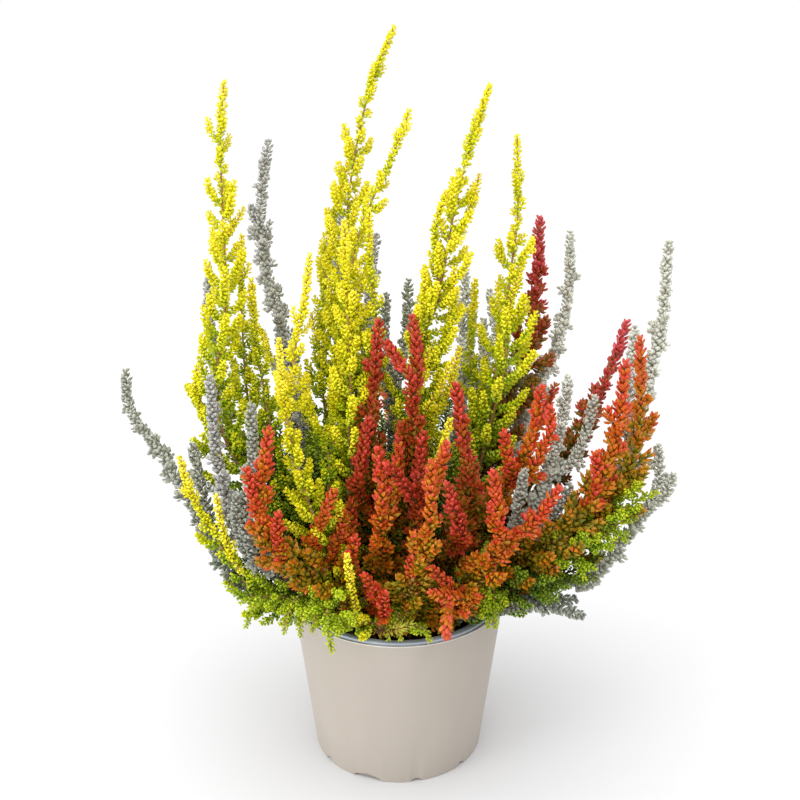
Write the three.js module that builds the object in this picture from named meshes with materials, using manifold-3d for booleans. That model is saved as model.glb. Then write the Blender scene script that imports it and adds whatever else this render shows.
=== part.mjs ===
// A heather trio in its pot: yellow, silver-grey and red leafy shoots in soil, in a grey-blue grow pot that
// stands in a beige cover pot. Millimetres, +Z up. The origin is the centre of the cover pot's foot and the
// front is towards -Y.

import * as THREE from "three";
import { mergeVertices } from "three/addons/utils/BufferGeometryUtils.js";
import Module from "manifold-3d";

const wasm = await Module();
wasm.setup();

// Corners closer than this are one corner: in drawn shapes and in joined solids
const SAME_DRAWN_CORNER = 1e-4;
const SAME_JOINED_CORNER = 1e-5;

// Pots and soil
const COVER_SEGMENTS = 72;
const COVER_HEIGHT = 93.5;
const COVER_FOOT_RADIUS = 48.5;
const COVER_RIM_RADIUS = 60;
const COVER_WALL = 1.1;
const COVER_BASE = 1.2;
const FOOT_FLAT_RADIUS = 43.5;
const POT_SEGMENTS = 32;
const POT_RIM_TOP = 94.6;
const POT_RIM_DEPTH = 8.4;
const POT_RIM_WIDTH = 3.6;
const POT_WALL = 1.3;
const POT_FOOT_GAP = 2;
const EDGE_BEVEL = 1;
const PIECE_GAP = 0.4;
const SOIL_TOP = 84;
const SOIL_LUMP = 1.2;
const SOIL_SINK = 0.6;
const SOIL_SKIN = 0.5;
const SOIL_RINGS = [0.86, 0.56, 0.26];

// Low arches in the cover pot's foot: degrees from the front, half width in degrees and height. The same
// arches are repeated half a turn on.
const FOOT_ARCHES = [
  { at: -54, half: 4, height: 2 },
  { at: -21, half: 10, height: 3.4 },
  { at: 12, half: 4, height: 2.2 },
  { at: 47, half: 4, height: 2 },
];

// How stems stand in the soil
const STEM_RADIUS = 1.6;
const STEM_BURIED = 7.6;
const STEM_COLLAR = 2;
const STEM_UPRIGHT = 13;
const STEM_SPLAY = 1.05;
const FEET_RADIUS = 44;
const FEET_SPREAD = 62;
const FEET_SPACING = 8.6;
const FEET_ROUNDS = 400;
const FEET_SHARE = 0.25;
const HOLE_RADIUS = 2.5;
const HOLE_SIDES = 4;

// How shoots are drawn and bent clear of each other
const STEP = 7;
const CURVE_SAMPLES = 24;
const FORK_DROP = 1.3;
const SHOOT_GAP = 1.5;
const RIM_GAP = 0.8;
const RIM_MARGIN = 1;
const CLEAR_ROUNDS = 240;
const PAIRS_EVERY = 10;
const PAIRS_REACH = 6;
const CLEAR_WEIGHTS = new THREE.Vector3(0.6, 1, 0.45);
const CLEAR_SHARE = 0.3;
const SMOOTH_SHARE = 0.3;
const STIFF_KNOTS = 4;
const LOOSE_ENOUGH = 0.3;

// How leaves stand on a shoot
const BARE_STEM = 26;
const BARE_FORK = 8;
const FILL_OUT = 25;
const TIP_TAPER = 22;
const TIP_BLUNTNESS = 0.7;
const LEAST_BARE = 2;
const LEAST_LEAFY_ROUNDS = 3;
const TIP_ROOM = 2;
const LEAF_TIP_ROOM = 1;
const STEM_CORE_SHARE = 0.85;
const SLIM_WIDTH = 10.5;
const SLIM_PITCH = 9;
const LEAF_TURN = 1.69;
const FRAMES = 200;
const ARC_SAMPLES = 40;

// Each colour's leaves: distance between rounds and core width as shares of the shoot's width, and how far a
// leaf's point leans up the shoot as a share of that distance
const KINDS = {
  yellow: { colour: 0xd9cc1c, pitch: 1.45, core: 0.4, lean: 0.75 },
  lime: { colour: 0x8fae1c, pitch: 1.3, core: 0.44, lean: 0.65 },
  green: { colour: 0x3f6a16, pitch: 1.3, core: 0.44, lean: 0.65 },
  grey: { colour: 0xa3a39a, pitch: 1.4, core: 0.38, lean: 0.6 },
  red: { colour: 0xc8502e, pitch: 1.5, core: 0.4, lean: 0.8 },
};

// Every shoot: name, kind, width of the leaves and its route from the lowest seen point up to the tip, then
// its side shoots, each with its width and route. Where it leaves the soil or its own stem follows below.
const SHOOTS = [
  ["yellow_tall_left", "yellow", 11,
    [[-94, -6, 194], [-91, 6, 262], [-91, 12, 311], [-91, 16, 344], [-88, 18, 372]],
    [7, [[-100, -7, 193], [-106, -8, 216], [-105, -8, 231]]],
    [6, [[-90, 10, 294], [-84, 12, 303], [-80, 14, 310]]]],
  ["yellow_left_pair", "yellow", 9, [[-74, -4, 170], [-83, 12, 205], [-86, 26, 252], [-85, 32, 292]],
    [7, [[-69, -2, 187], [-72, 4, 205], [-77, 10, 242], [-78, 12, 272]]]],
  ["yellow_bright_left", "yellow", 11, [[-43, -38, 153], [-53, -32, 186], [-59, -24, 217], [-61, -18, 247]],
    [7, [[-56, -18, 212], [-54, -6, 239], [-49, 2, 263], [-46, 6, 286]]]],
  ["yellow_mid_left", "yellow", 8, [[-36, -26, 162], [-37, -18, 184], [-46, -10, 204], [-49, -6, 226]],
    [6, [[-34, -10, 190], [-34, -2, 210], [-31, 4, 230]]]],
  ["yellow_back_left", "yellow", 10, [[-42, 26, 200], [-42, 48, 252], [-42, 60, 288]],
    [6, [[-43, 34, 218], [-47, 42, 234], [-49, 44, 246]]]],
  ["yellow_tallest", "yellow", 9,
    [[-29, 24, 241], [-29, 36, 283], [-25, 44, 325], [-15, 50, 368], [-2, 52, 399]],
    [6, [[-38, 34, 250], [-40, 42, 276], [-34, 52, 306], [-28, 58, 328]]]],
  ["yellow_arching", "yellow", 6,
    [[-27, 4, 247], [-24, 12, 282], [-17, 18, 305], [-4, 22, 333], [6, 24, 358]],
    [7, [[-17, -4, 227], [-12, 0, 254], [-15, 4, 283], [-15, 6, 310]]]],
  ["yellow_column", "yellow", 11, [[-25, -12, 182], [-24, -6, 222], [-26, 0, 264], [-27, 4, 305]]],
  ["yellow_tall_right", "yellow", 12,
    [[11, -4, 227], [21, 2, 264], [29, 8, 309], [37, 10, 343], [46, 12, 371]],
    [7, [[22, 2, 269], [19, 4, 299], [25, 4, 320]]],
    [6, [[15, -4, 241], [13, -4, 260], [14, -4, 280]]],
    [6, [[31, 10, 295], [39, 14, 314], [42, 16, 327]]],
    [8, [[22, -4, 238], [28, -2, 259], [29, -2, 281]]]],
  ["yellow_bush_right", "yellow", 11, [[7, -22, 208], [12, -20, 226], [15, -18, 242]],
    [9, [[13, -24, 209], [22, -22, 224], [28, -20, 238]]],
    [8, [[18, -18, 204], [27, -12, 221], [32, -8, 240]]],
    [5, [[20, -34, 186], [24, -36, 199], [27, -36, 210]]]],
  ["yellow_right", "yellow", 11, [[52, -4, 207], [58, 4, 236], [59, 12, 269], [63, 20, 305], [62, 26, 345]],
    [6, [[58, 6, 249], [61, 8, 267], [65, 10, 279]]],
    [7, [[45, 14, 198], [43, 30, 216], [45, 46, 238], [47, 56, 262]]],
    [7, [[50, 14, 198], [54, 32, 216], [57, 50, 237], [56, 62, 260]]]],
  ["yellow_diagonal_left", "yellow", 9, [[-68, -46, 107], [-81, -42, 123], [-98, -36, 149], [-109, -32, 171],
    [-113, -30, 188]],
    [6, [[-83, -44, 132], [-89, -42, 150], [-92, -40, 171]]]],
  ["yellow_front", "yellow", 10, [[-19, -57, 107], [-24, -60, 127], [-26, -62, 148]]],
  ["yellow_rear_left", "yellow", 10, [[-42, 36, 130], [-66, 54, 190], [-84, 66, 236]],
    [7, [[-42, 44, 130], [-54, 66, 165], [-62, 84, 205]]]],
  ["lime_low_right", "lime", 9, [[84, -44, 143], [104, -42, 156], [119, -36, 168], [130, -34, 172]],
    [7, [[90, -46, 144], [105, -46, 154], [115, -44, 163]]]],
  ["lime_left_outer", "lime", 12, [[-64, -46, 116], [-74, -50, 112], [-78, -52, 101]],
    [8, [[-61, -40, 110], [-69, -38, 115], [-75, -34, 122]]]],
  ["lime_left_inner", "lime", 13, [[-48, -48, 119], [-56, -56, 115], [-59, -62, 104]],
    [9, [[-46, -50, 117], [-50, -60, 112], [-50, -64, 103]]]],
  ["lime_left_rim", "lime", 13, [[-35, -54, 122], [-36, -62, 115], [-34, -66, 101]],
    [9, [[-37, -52, 121], [-42, -60, 119], [-44, -64, 111]]]],
  ["lime_right_rim", "lime", 12, [[39, -50, 125], [42, -57, 118], [43, -58, 104]],
    [10, [[48, -44, 126], [51, -50, 118], [52, -52, 102]]]],
  ["lime_front_sprigs", "lime", 8, [[0, -54, 112], [-1, -60, 108], [1, -64, 100]],
    [7, [[5, -58, 105], [12, -61, 107], [16, -65, 100]]],
    [6, [[-2, -54, 113], [-5, -60, 107], [-7, -64, 100]]]],
  ["lime_rear", "lime", 12, [[-6, 50, 108], [-8, 66, 122], [-14, 84, 116]],
    [10, [[-14, 48, 106], [-30, 62, 120], [-42, 76, 116]]]],
  ["green_left", "green", 13, [[-51, -14, 123], [-54, -8, 142], [-54, -4, 160]],
    [10, [[-45, -9, 120], [-44, -4, 134], [-42, 2, 149]]]],
  ["green_right_low", "green", 12, [[64, -42, 128], [85, -42, 131], [101, -40, 132]],
    [10, [[70, -38, 129], [91, -36, 134], [106, -34, 142]]]],
  ["grey_far_left", "grey", 10, [[-83, -30, 112], [-108, -16, 147], [-127, -4, 177], [-146, 6, 200],
    [-148, 10, 222]],
    [7, [[-101, -22, 150], [-106, -18, 170], [-109, -16, 189]]]],
  ["grey_tall_left", "grey", 12,
    [[-57, 14, 192], [-64, 36, 235], [-76, 52, 273], [-77, 60, 307], [-72, 64, 339]],
    [6, [[-76, 56, 280], [-80, 60, 292], [-83, 60, 304]]]],
  ["grey_left_back", "grey", 9, [[-87, 4, 172], [-98, 20, 202], [-105, 34, 239], [-106, 40, 266]]],
  ["grey_mauve", "grey", 9, [[-79, -38, 140], [-91, -32, 164], [-96, -26, 196], [-97, -22, 228]]],
  ["grey_left_inner", "grey", 8, [[-72, -46, 137], [-78, -44, 164], [-74, -40, 190], [-74, -36, 218]],
    [6, [[-76, -46, 137], [-82, -46, 154], [-82, -46, 173]]]],
  ["grey_back_centre", "grey", 8, [[-34, 52, 222], [-35, 72, 259], [-34, 84, 296]],
    [7, [[-19, 54, 221], [-17, 76, 252], [-13, 90, 282]]]],
  ["grey_centre", "grey", 9, [[-2, 22, 201], [4, 40, 231], [6, 52, 263]],
    [6, [[-6, 34, 209], [-8, 52, 231], [-7, 62, 252]]]],
  ["grey_back_right", "grey", 8, [[37, 42, 198], [38, 66, 230], [40, 82, 264]],
    [8, [[43, 24, 195], [48, 34, 218], [48, 40, 243]]],
    [6, [[39, 48, 208], [43, 64, 231], [45, 76, 254]]]],
  ["grey_tall_right", "grey", 13, [[68, 18, 194], [88, 42, 225], [97, 58, 256], [98, 68, 288]],
    [6, [[63, 50, 204], [58, 78, 227], [55, 90, 248]]]],
  ["grey_far_right", "grey", 12,
    [[108, -24, 155], [126, -8, 189], [137, 8, 223], [143, 16, 249], [145, 24, 290]],
    [8, [[123, -8, 195], [125, 2, 219], [127, 8, 247]]]],
  ["grey_thick_right", "grey", 13, [[69, -38, 150], [80, -34, 175], [87, -28, 205], [89, -26, 227]],
    [8, [[93, -26, 179], [101, -18, 193], [105, -14, 212]]]],
  ["grey_right_arm", "grey", 13, [[97, -36, 120], [122, -30, 143], [137, -24, 167], [137, -20, 190]],
    [10, [[130, -28, 155], [141, -26, 164], [145, -24, 175]]]],
  ["grey_low_right", "grey", 9, [[61, -46, 115], [81, -46, 114], [95, -46, 110]],
    [8, [[66, -40, 117], [78, -40, 116], [92, -38, 115]]]],
  ["grey_green_right", "grey", 9, [[59, -46, 145], [63, -50, 170], [65, -50, 186]],
    [8, [[74, -44, 144], [86, -44, 161], [91, -42, 171]]]],
  ["grey_rear_left", "grey", 11, [[-20, 50, 120], [-28, 78, 165], [-34, 100, 204]],
    [7, [[-26, 50, 114], [-48, 70, 140], [-66, 92, 170]]]],
  ["grey_rear_right", "grey", 11, [[30, 50, 120], [48, 78, 168], [58, 100, 208]],
    [7, [[38, 48, 116], [64, 66, 142], [86, 84, 176]]]],
  ["red_front_left", "red", 14, [[-30, -48, 117], [-50, -56, 136], [-66, -60, 155], [-68, -58, 181],
    [-63, -54, 211]],
    [7, [[-68, -60, 161], [-71, -60, 177], [-74, -60, 192]]],
    [8, [[-58, -60, 144], [-60, -64, 157], [-59, -66, 170]]]],
  ["red_dark_centre", "red", 9, [[-14, -20, 185], [-13, -14, 219], [-10, -8, 254]],
    [7, [[-21, -34, 171], [-18, -32, 190], [-15, -30, 208]]]],
  ["red_slant_centre", "red", 6, [[7, -26, 218], [1, -20, 233], [-6, -18, 246]],
    [6, [[9, -22, 225], [9, -14, 244], [7, -10, 257]]]],
  ["red_dark_right", "red", 9, [[35, -44, 167], [32, -36, 200], [28, -30, 226]],
    [9, [[33, -60, 155], [28, -66, 173], [24, -66, 187]]]],
  ["red_mid_pair", "red", 9, [[-9, -48, 152], [-8, -48, 178], [-10, -46, 198]],
    [7, [[-2, -38, 167], [1, -30, 185], [3, -24, 204]]]],
  ["red_thin_pair", "red", 7, [[10, -44, 167], [10, -40, 182], [13, -36, 203]],
    [5, [[10, -48, 168], [3, -52, 182], [-5, -56, 194]]]],
  ["red_orange_front", "red", 11, [[5, -56, 119], [13, -62, 150], [16, -64, 173], [16, -62, 197]],
    [6, [[18, -56, 181], [21, -54, 193], [24, -52, 203]]],
    [8, [[4, -56, 117], [6, -60, 130], [6, -64, 146]]]],
  ["red_orange_left", "red", 9, [[-43, -50, 139], [-37, -54, 162], [-32, -52, 174]],
    [6, [[-34, -46, 137], [-29, -46, 151], [-28, -46, 161]]],
    [6, [[-26, -38, 133], [-24, -34, 148], [-24, -32, 163]]]],
  ["red_small_front", "red", 7, [[-22, -50, 121], [-25, -52, 140], [-23, -54, 153]],
    [7, [[-9, -56, 117], [-13, -62, 128], [-17, -66, 138]]],
    [6, [[-5, -58, 111], [-6, -64, 120], [-5, -68, 129]]]],
  ["red_big_right", "red", 13,
    [[64, -40, 134], [83, -46, 153], [102, -40, 180], [111, -34, 207], [114, -28, 239]],
    [8, [[96, -44, 167], [100, -44, 181], [98, -44, 196]]]],
  ["red_orange_right", "red", 11, [[104, -34, 154], [122, -26, 179], [127, -20, 205], [125, -14, 246]],
    [7, [[101, -36, 154], [108, -34, 165], [113, -34, 177]]]],
  ["red_narrow_right", "red", 6, [[95, -8, 186], [104, 4, 202], [117, 16, 222], [126, 26, 245]]],
  ["red_front_right", "red", 12, [[50, -60, 146], [51, -66, 172], [48, -64, 193]],
    [9, [[57, -58, 151], [72, -60, 168], [81, -60, 183]]]],
  ["red_fork_right", "red", 8, [[61, -38, 185], [69, -34, 204], [73, -30, 225]],
    [8, [[66, -41, 183], [76, -42, 204], [76, -40, 218]]],
    [7, [[59, -42, 181], [55, -44, 194], [53, -46, 207]]]],
  ["red_tall_far", "red", 11, [[55, 12, 199], [70, 28, 222], [76, 38, 261], [77, 44, 299]]],
  ["red_lying_front", "red", 10, [[35, -60, 121], [26, -68, 129], [17, -72, 134]],
    [9, [[27, -62, 123], [25, -66, 118], [25, -66, 106]]],
    [9, [[31, -58, 125], [24, -62, 134], [17, -66, 144]]]],
  ["red_rear_centre", "red", 11, [[10, 52, 122], [12, 82, 172], [12, 104, 214]],
    [8, [[8, 56, 116], [0, 84, 146], [-10, 112, 180]]]],
  ["red_rear_right", "red", 10, [[46, 34, 116], [72, 46, 158], [92, 52, 200]]],
];

const clamp = THREE.MathUtils.clamp;
const vector = (p) => new THREE.Vector3(...p);

// A fixed pseudo-random number from 0 to 1 for a place on the soil
function scatter(a, b) {
  const n = Math.sin(a * 12.9898 + b * 78.233) * 43758.5453;
  return n - Math.floor(n);
}

// Closed geometry with its shared corners merged
function closed(geometry) {
  geometry.deleteAttribute("normal");
  geometry.deleteAttribute("uv");
  return mergeVertices(geometry, SAME_DRAWN_CORNER);
}

function solidOf(geometry) {
  const merged = closed(geometry);
  return new wasm.Manifold(new wasm.Mesh({
    numProp: 3,
    vertProperties: new Float32Array(merged.attributes.position.array),
    triVerts: new Uint32Array(merged.index.array),
  }));
}

// Geometry of a solid's largest shell: a pocket that joining sealed is filled with it, and a loose scrap is
// dropped
function geometryOf(solid) {
  const mesh = solid.getMesh();
  const leader = Array.from({ length: mesh.numVert }, (_, i) => i);
  const find = (i) => {
    let top = i;
    while (leader[top] !== top) {
      top = leader[top];
    }
    leader[i] = top;
    return top;
  };
  const triangles = [];
  for (let t = 0; t < mesh.triVerts.length; t += 3) {
    triangles.push([mesh.triVerts[t], mesh.triVerts[t + 1], mesh.triVerts[t + 2]]);
  }
  for (const [a, b, c] of triangles) {
    leader[find(a)] = find(b);
    leader[find(b)] = find(c);
  }
  const shells = Map.groupBy(triangles, ([a]) => find(a));
  const corner = (i) => new THREE.Vector3().fromArray(mesh.vertProperties, i * mesh.numProp);
  const wedge = ([a, b, c]) => corner(a).dot(corner(b).cross(corner(c)));
  const volume = (shell) => shell.reduce((sum, triangle) => sum + wedge(triangle), 0);
  const largest = [...shells.values()].sort((one, two) => volume(two) - volume(one))[0];
  const places = largest.flat().flatMap((i) => corner(i).toArray());
  const geometry = new THREE.BufferGeometry();
  geometry.setAttribute("position", new THREE.Float32BufferAttribute(places, 3));
  return mergeVertices(geometry, SAME_JOINED_CORNER);
}

// A turned solid about +Z from a profile of [radius, height] that starts and ends on the axis
function turned(profile, segments) {
  const points = profile.map(([radius, height]) => new THREE.Vector2(radius, height));
  const geometry = new THREE.LatheGeometry(points, segments);
  geometry.rotateX(Math.PI / 2);
  return closed(geometry);
}

// Height of the foot's edge at an angle from the front, in degrees
function archHeight(degrees) {
  let height = 0;
  for (const arch of FOOT_ARCHES) {
    for (const turn of [0, 180]) {
      const away = THREE.MathUtils.euclideanModulo(degrees - arch.at - turn + 180, 360) - 180;
      const inside = clamp(1 - Math.abs(away) / arch.half, 0, 1);
      height = Math.max(height, arch.height * Math.sqrt(inside));
    }
  }
  return height;
}

function coverPot() {
  const innerFoot = COVER_FOOT_RADIUS - COVER_WALL;
  const innerRim = COVER_RIM_RADIUS - COVER_WALL;
  const geometry = turned([
    [0, 0], [FOOT_FLAT_RADIUS, 0], [COVER_FOOT_RADIUS, 0], [COVER_RIM_RADIUS, COVER_HEIGHT],
    [innerRim, COVER_HEIGHT], [innerFoot, COVER_BASE], [0, COVER_BASE],
  ], COVER_SEGMENTS);
  const place = geometry.attributes.position;
  for (let i = 0; i < place.count; i += 1) {
    const onEdge = Math.hypot(place.getX(i), place.getY(i)) > innerFoot && place.getZ(i) < COVER_BASE / 2;
    if (onEdge) {
      const degrees = THREE.MathUtils.radToDeg(Math.atan2(place.getX(i), -place.getY(i)));
      place.setZ(i, archHeight(degrees));
    }
  }
  return geometry;
}

// Inner radius of the cover pot at a height
const coverInside = (z) => THREE.MathUtils.mapLinear(
  z, COVER_BASE, COVER_HEIGHT, COVER_FOOT_RADIUS - COVER_WALL, COVER_RIM_RADIUS - COVER_WALL);
const lipBottom = POT_RIM_TOP - POT_RIM_DEPTH;
const lipRadius = coverInside(lipBottom) - PIECE_GAP;
const lipTopRadius = coverInside(COVER_HEIGHT) - PIECE_GAP;
const potFloor = COVER_BASE + PIECE_GAP;
const potFootRadius = coverInside(potFloor) - POT_FOOT_GAP;
const potNeckRadius = lipRadius - POT_RIM_WIDTH + POT_WALL;
const potInside = (z) => THREE.MathUtils.mapLinear(
  z, potFloor, lipBottom, potFootRadius - POT_WALL, potNeckRadius - POT_WALL);

function growPot() {
  const inner = lipTopRadius - POT_RIM_WIDTH;
  return turned([
    [0, potFloor], [potFootRadius, potFloor], [potNeckRadius, lipBottom], [lipRadius, lipBottom],
    [lipTopRadius, POT_RIM_TOP - EDGE_BEVEL], [lipTopRadius - EDGE_BEVEL, POT_RIM_TOP],
    [inner + EDGE_BEVEL, POT_RIM_TOP], [inner, POT_RIM_TOP - EDGE_BEVEL],
    [potInside(potFloor + POT_WALL), potFloor + POT_WALL], [0, potFloor + POT_WALL],
  ], POT_SEGMENTS);
}

// The feet of the shoots: each on its own shoot's side of the pot, spread until they stand apart
function placeFeet(routes) {
  const feet = routes.map((route) => {
    const low = new THREE.Vector2(route[0].x, route[0].y);
    const reach = FEET_RADIUS * Math.tanh(low.length() / FEET_SPREAD);
    return low.setLength(reach);
  });
  for (let round = 0; round < FEET_ROUNDS; round += 1) {
    const moves = feet.map(() => new THREE.Vector2());
    feet.forEach((a, i) => feet.forEach((b, j) => {
      const apart = a.distanceTo(b);
      if (i !== j && apart < FEET_SPACING) {
        moves[i].addScaledVector(a.clone().sub(b), (FEET_SPACING - apart) / apart * FEET_SHARE);
      }
    }));
    feet.forEach((foot, i) => foot.add(moves[i]).clampLength(0, FEET_RADIUS));
  }
  return feet;
}

// Points at about every STEP along a smooth line through the given points
function smoothLine(points) {
  const curve = new THREE.CatmullRomCurve3(points, false, "catmullrom", 0.5);
  const fine = curve.getPoints(CURVE_SAMPLES * (points.length - 1));
  const along = [0];
  for (let i = 1; i < fine.length; i += 1) {
    along.push(along[i - 1] + fine[i].distanceTo(fine[i - 1]));
  }
  const total = along[along.length - 1];
  const count = Math.max(3, Math.round(total / STEP));
  const line = [];
  let at = 0;
  for (let k = 0; k <= count; k += 1) {
    const wanted = (total * k) / count;
    while (at < fine.length - 2 && along[at + 1] < wanted) {
      at += 1;
    }
    const share = (wanted - along[at]) / (along[at + 1] - along[at]);
    line.push(fine[at].clone().lerp(fine[at + 1], clamp(share, 0, 1)));
  }
  return line;
}

// Outer radius of the leaves at a distance from the shoot's root, for a shoot of that whole length
function leafRadius(width, bare, along, length) {
  const spread = width / 2 - STEM_RADIUS;
  const grown = STEM_RADIUS + spread * clamp((along - bare) / FILL_OUT, 0, 1);
  const tapered = STEM_RADIUS + spread * clamp((length - along) / TIP_TAPER, 0, 1) ** TIP_BLUNTNESS;
  return Math.min(grown, tapered);
}

// The centrelines of all shoots and side shoots, before they are bent clear
function drawShoots() {
  const routes = SHOOTS.map((shoot) => shoot[3].map(vector));
  const feet = placeFeet(routes);
  const shoots = [];
  SHOOTS.forEach(([, kind, width, , ...sides], node) => {
    const foot = feet[node];
    const collar = new THREE.Vector3(foot.x, foot.y, SOIL_TOP + STEM_COLLAR);
    const upright = new THREE.Vector3(foot.x * STEM_SPLAY, foot.y * STEM_SPLAY, SOIL_TOP + STEM_UPRIGHT);
    const line = smoothLine([collar, upright, ...routes[node]]);
    const main = { node, kind, width, line, bare: BARE_STEM, stem: null };
    shoots.push(main);
    for (const [sideWidth, sideRoute] of sides) {
      const start = vector(sideRoute[0]);
      let nearest = 0;
      line.forEach((p, i) => {
        nearest = p.distanceTo(start) < line[nearest].distanceTo(start) ? i : nearest;
      });
      const drop = Math.max(1, Math.round((FORK_DROP * line[nearest].distanceTo(start)) / STEP));
      const at = Math.max(2, nearest - drop);
      const sideLine = smoothLine([line[at], ...sideRoute.map(vector)]);
      shoots.push({ node, kind, width: sideWidth, line: sideLine, bare: BARE_FORK, stem: main, at });
    }
  });
  return shoots;
}

// Lowest height at which a shoot of that radius clears the soil, or the pots' rims where it passes over them
function lowestHeight(point, radius) {
  const overRim = Math.hypot(point.x, point.y) + radius > potInside(SOIL_TOP) - RIM_MARGIN;
  return (overRim ? POT_RIM_TOP + RIM_GAP : SOIL_TOP + STEM_COLLAR - STEM_RADIUS) + radius;
}

// Bends the shoots clear of each other, mostly to the front or back, and up over the rims. Each shoot's
// shifts are smoothed along it, so that it keeps its own curve.
function bendClear(shoots) {
  const knots = [];
  for (const shoot of shoots) {
    const step = shoot.line[1].distanceTo(shoot.line[0]);
    const length = step * (shoot.line.length - 1);
    shoot.knots = shoot.line.map((home, i) => ({
      home,
      node: shoot.node,
      radius: leafRadius(shoot.width, shoot.bare, i * step, length),
      loose: shoot.stem ? 1 : clamp(i / STIFF_KNOTS, 0, 1),
      shift: new THREE.Vector3(),
      place: home.clone(),
    }));
    knots.push(...shoot.knots);
  }
  let pairs = [];
  const away = new THREE.Vector3();
  for (let round = 0; round < CLEAR_ROUNDS; round += 1) {
    if (round % PAIRS_EVERY === 0) {
      pairs = nearPairs(knots);
    }
    for (const knot of knots) {
      knot.push = new THREE.Vector3();
      knot.pushes = 0;
    }
    for (const [a, b] of pairs) {
      away.subVectors(a.place, b.place);
      const over = a.radius + b.radius + SHOOT_GAP - away.length();
      if (over > 0) {
        away.multiply(CLEAR_WEIGHTS).setLength(over * CLEAR_SHARE);
        a.push.add(away);
        b.push.sub(away);
        a.pushes += 1;
        b.pushes += 1;
      }
    }
    for (const knot of knots) {
      knot.shift.addScaledVector(knot.push, knot.loose / Math.sqrt(Math.max(1, knot.pushes)));
    }
    for (const shoot of shoots) {
      smoothShifts(shoot);
    }
    for (const knot of knots) {
      knot.place.addVectors(knot.home, knot.shift);
      const lift = lowestHeight(knot.place, knot.radius) - knot.place.z;
      if (lift > 0 && knot.loose > LOOSE_ENOUGH) {
        knot.shift.z += lift;
        knot.place.z += lift;
      }
    }
  }
  for (const shoot of shoots) {
    shoot.line = shoot.knots.map((knot) => knot.place);
  }
}

// Pairs of knots of different nodes that are close enough to touch soon
function nearPairs(knots) {
  const pairs = [];
  const reach = SHOOT_GAP + PAIRS_REACH;
  for (let i = 0; i < knots.length; i += 1) {
    for (let j = i + 1; j < knots.length; j += 1) {
      const a = knots[i];
      const b = knots[j];
      if (a.node !== b.node && a.place.distanceTo(b.place) < a.radius + b.radius + reach) {
        pairs.push([a, b]);
      }
    }
  }
  return pairs;
}

// Spreads each knot's shift to its neighbours; a side shoot's root stays on its stem
function smoothShifts(shoot) {
  const shifts = shoot.knots.map((knot) => knot.shift.clone());
  const last = shifts.length - 1;
  for (let i = 1; i < last; i += 1) {
    const bend = shifts[i - 1].clone().add(shifts[i + 1]).addScaledVector(shifts[i], -2);
    shoot.knots[i].shift.addScaledVector(bend, SMOOTH_SHARE);
  }
  shoot.knots[last].shift.addScaledVector(shifts[last - 1].clone().sub(shifts[last]), SMOOTH_SHARE);
  if (shoot.stem) {
    shoot.knots[0].shift.copy(shoot.stem.knots[shoot.at].shift);
  } else {
    shoot.knots[0].shift.set(0, 0, 0);
  }
}

// Distances along a shoot at which its rings stand: wide apart on the bare stem, then one for each round of
// leaves
function ringPlaces(shoot, length, buried) {
  const pitch = KINDS[shoot.kind].pitch * Math.max(shoot.width, SLIM_PITCH);
  const places = shoot.stem ? [0] : [0, buried];
  const latest = length - LEAST_LEAFY_ROUNDS * pitch;
  const leafy = Math.max(buried + LEAST_BARE, Math.min(buried + shoot.bare, latest));
  const reach = length - TIP_ROOM - leafy;
  const rounds = Math.max(2, Math.round(reach / pitch));
  for (let i = 0; i < rounds; i += 1) {
    places.push(leafy + (reach * i) / rounds);
  }
  return { places, leafy, pitch };
}

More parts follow.
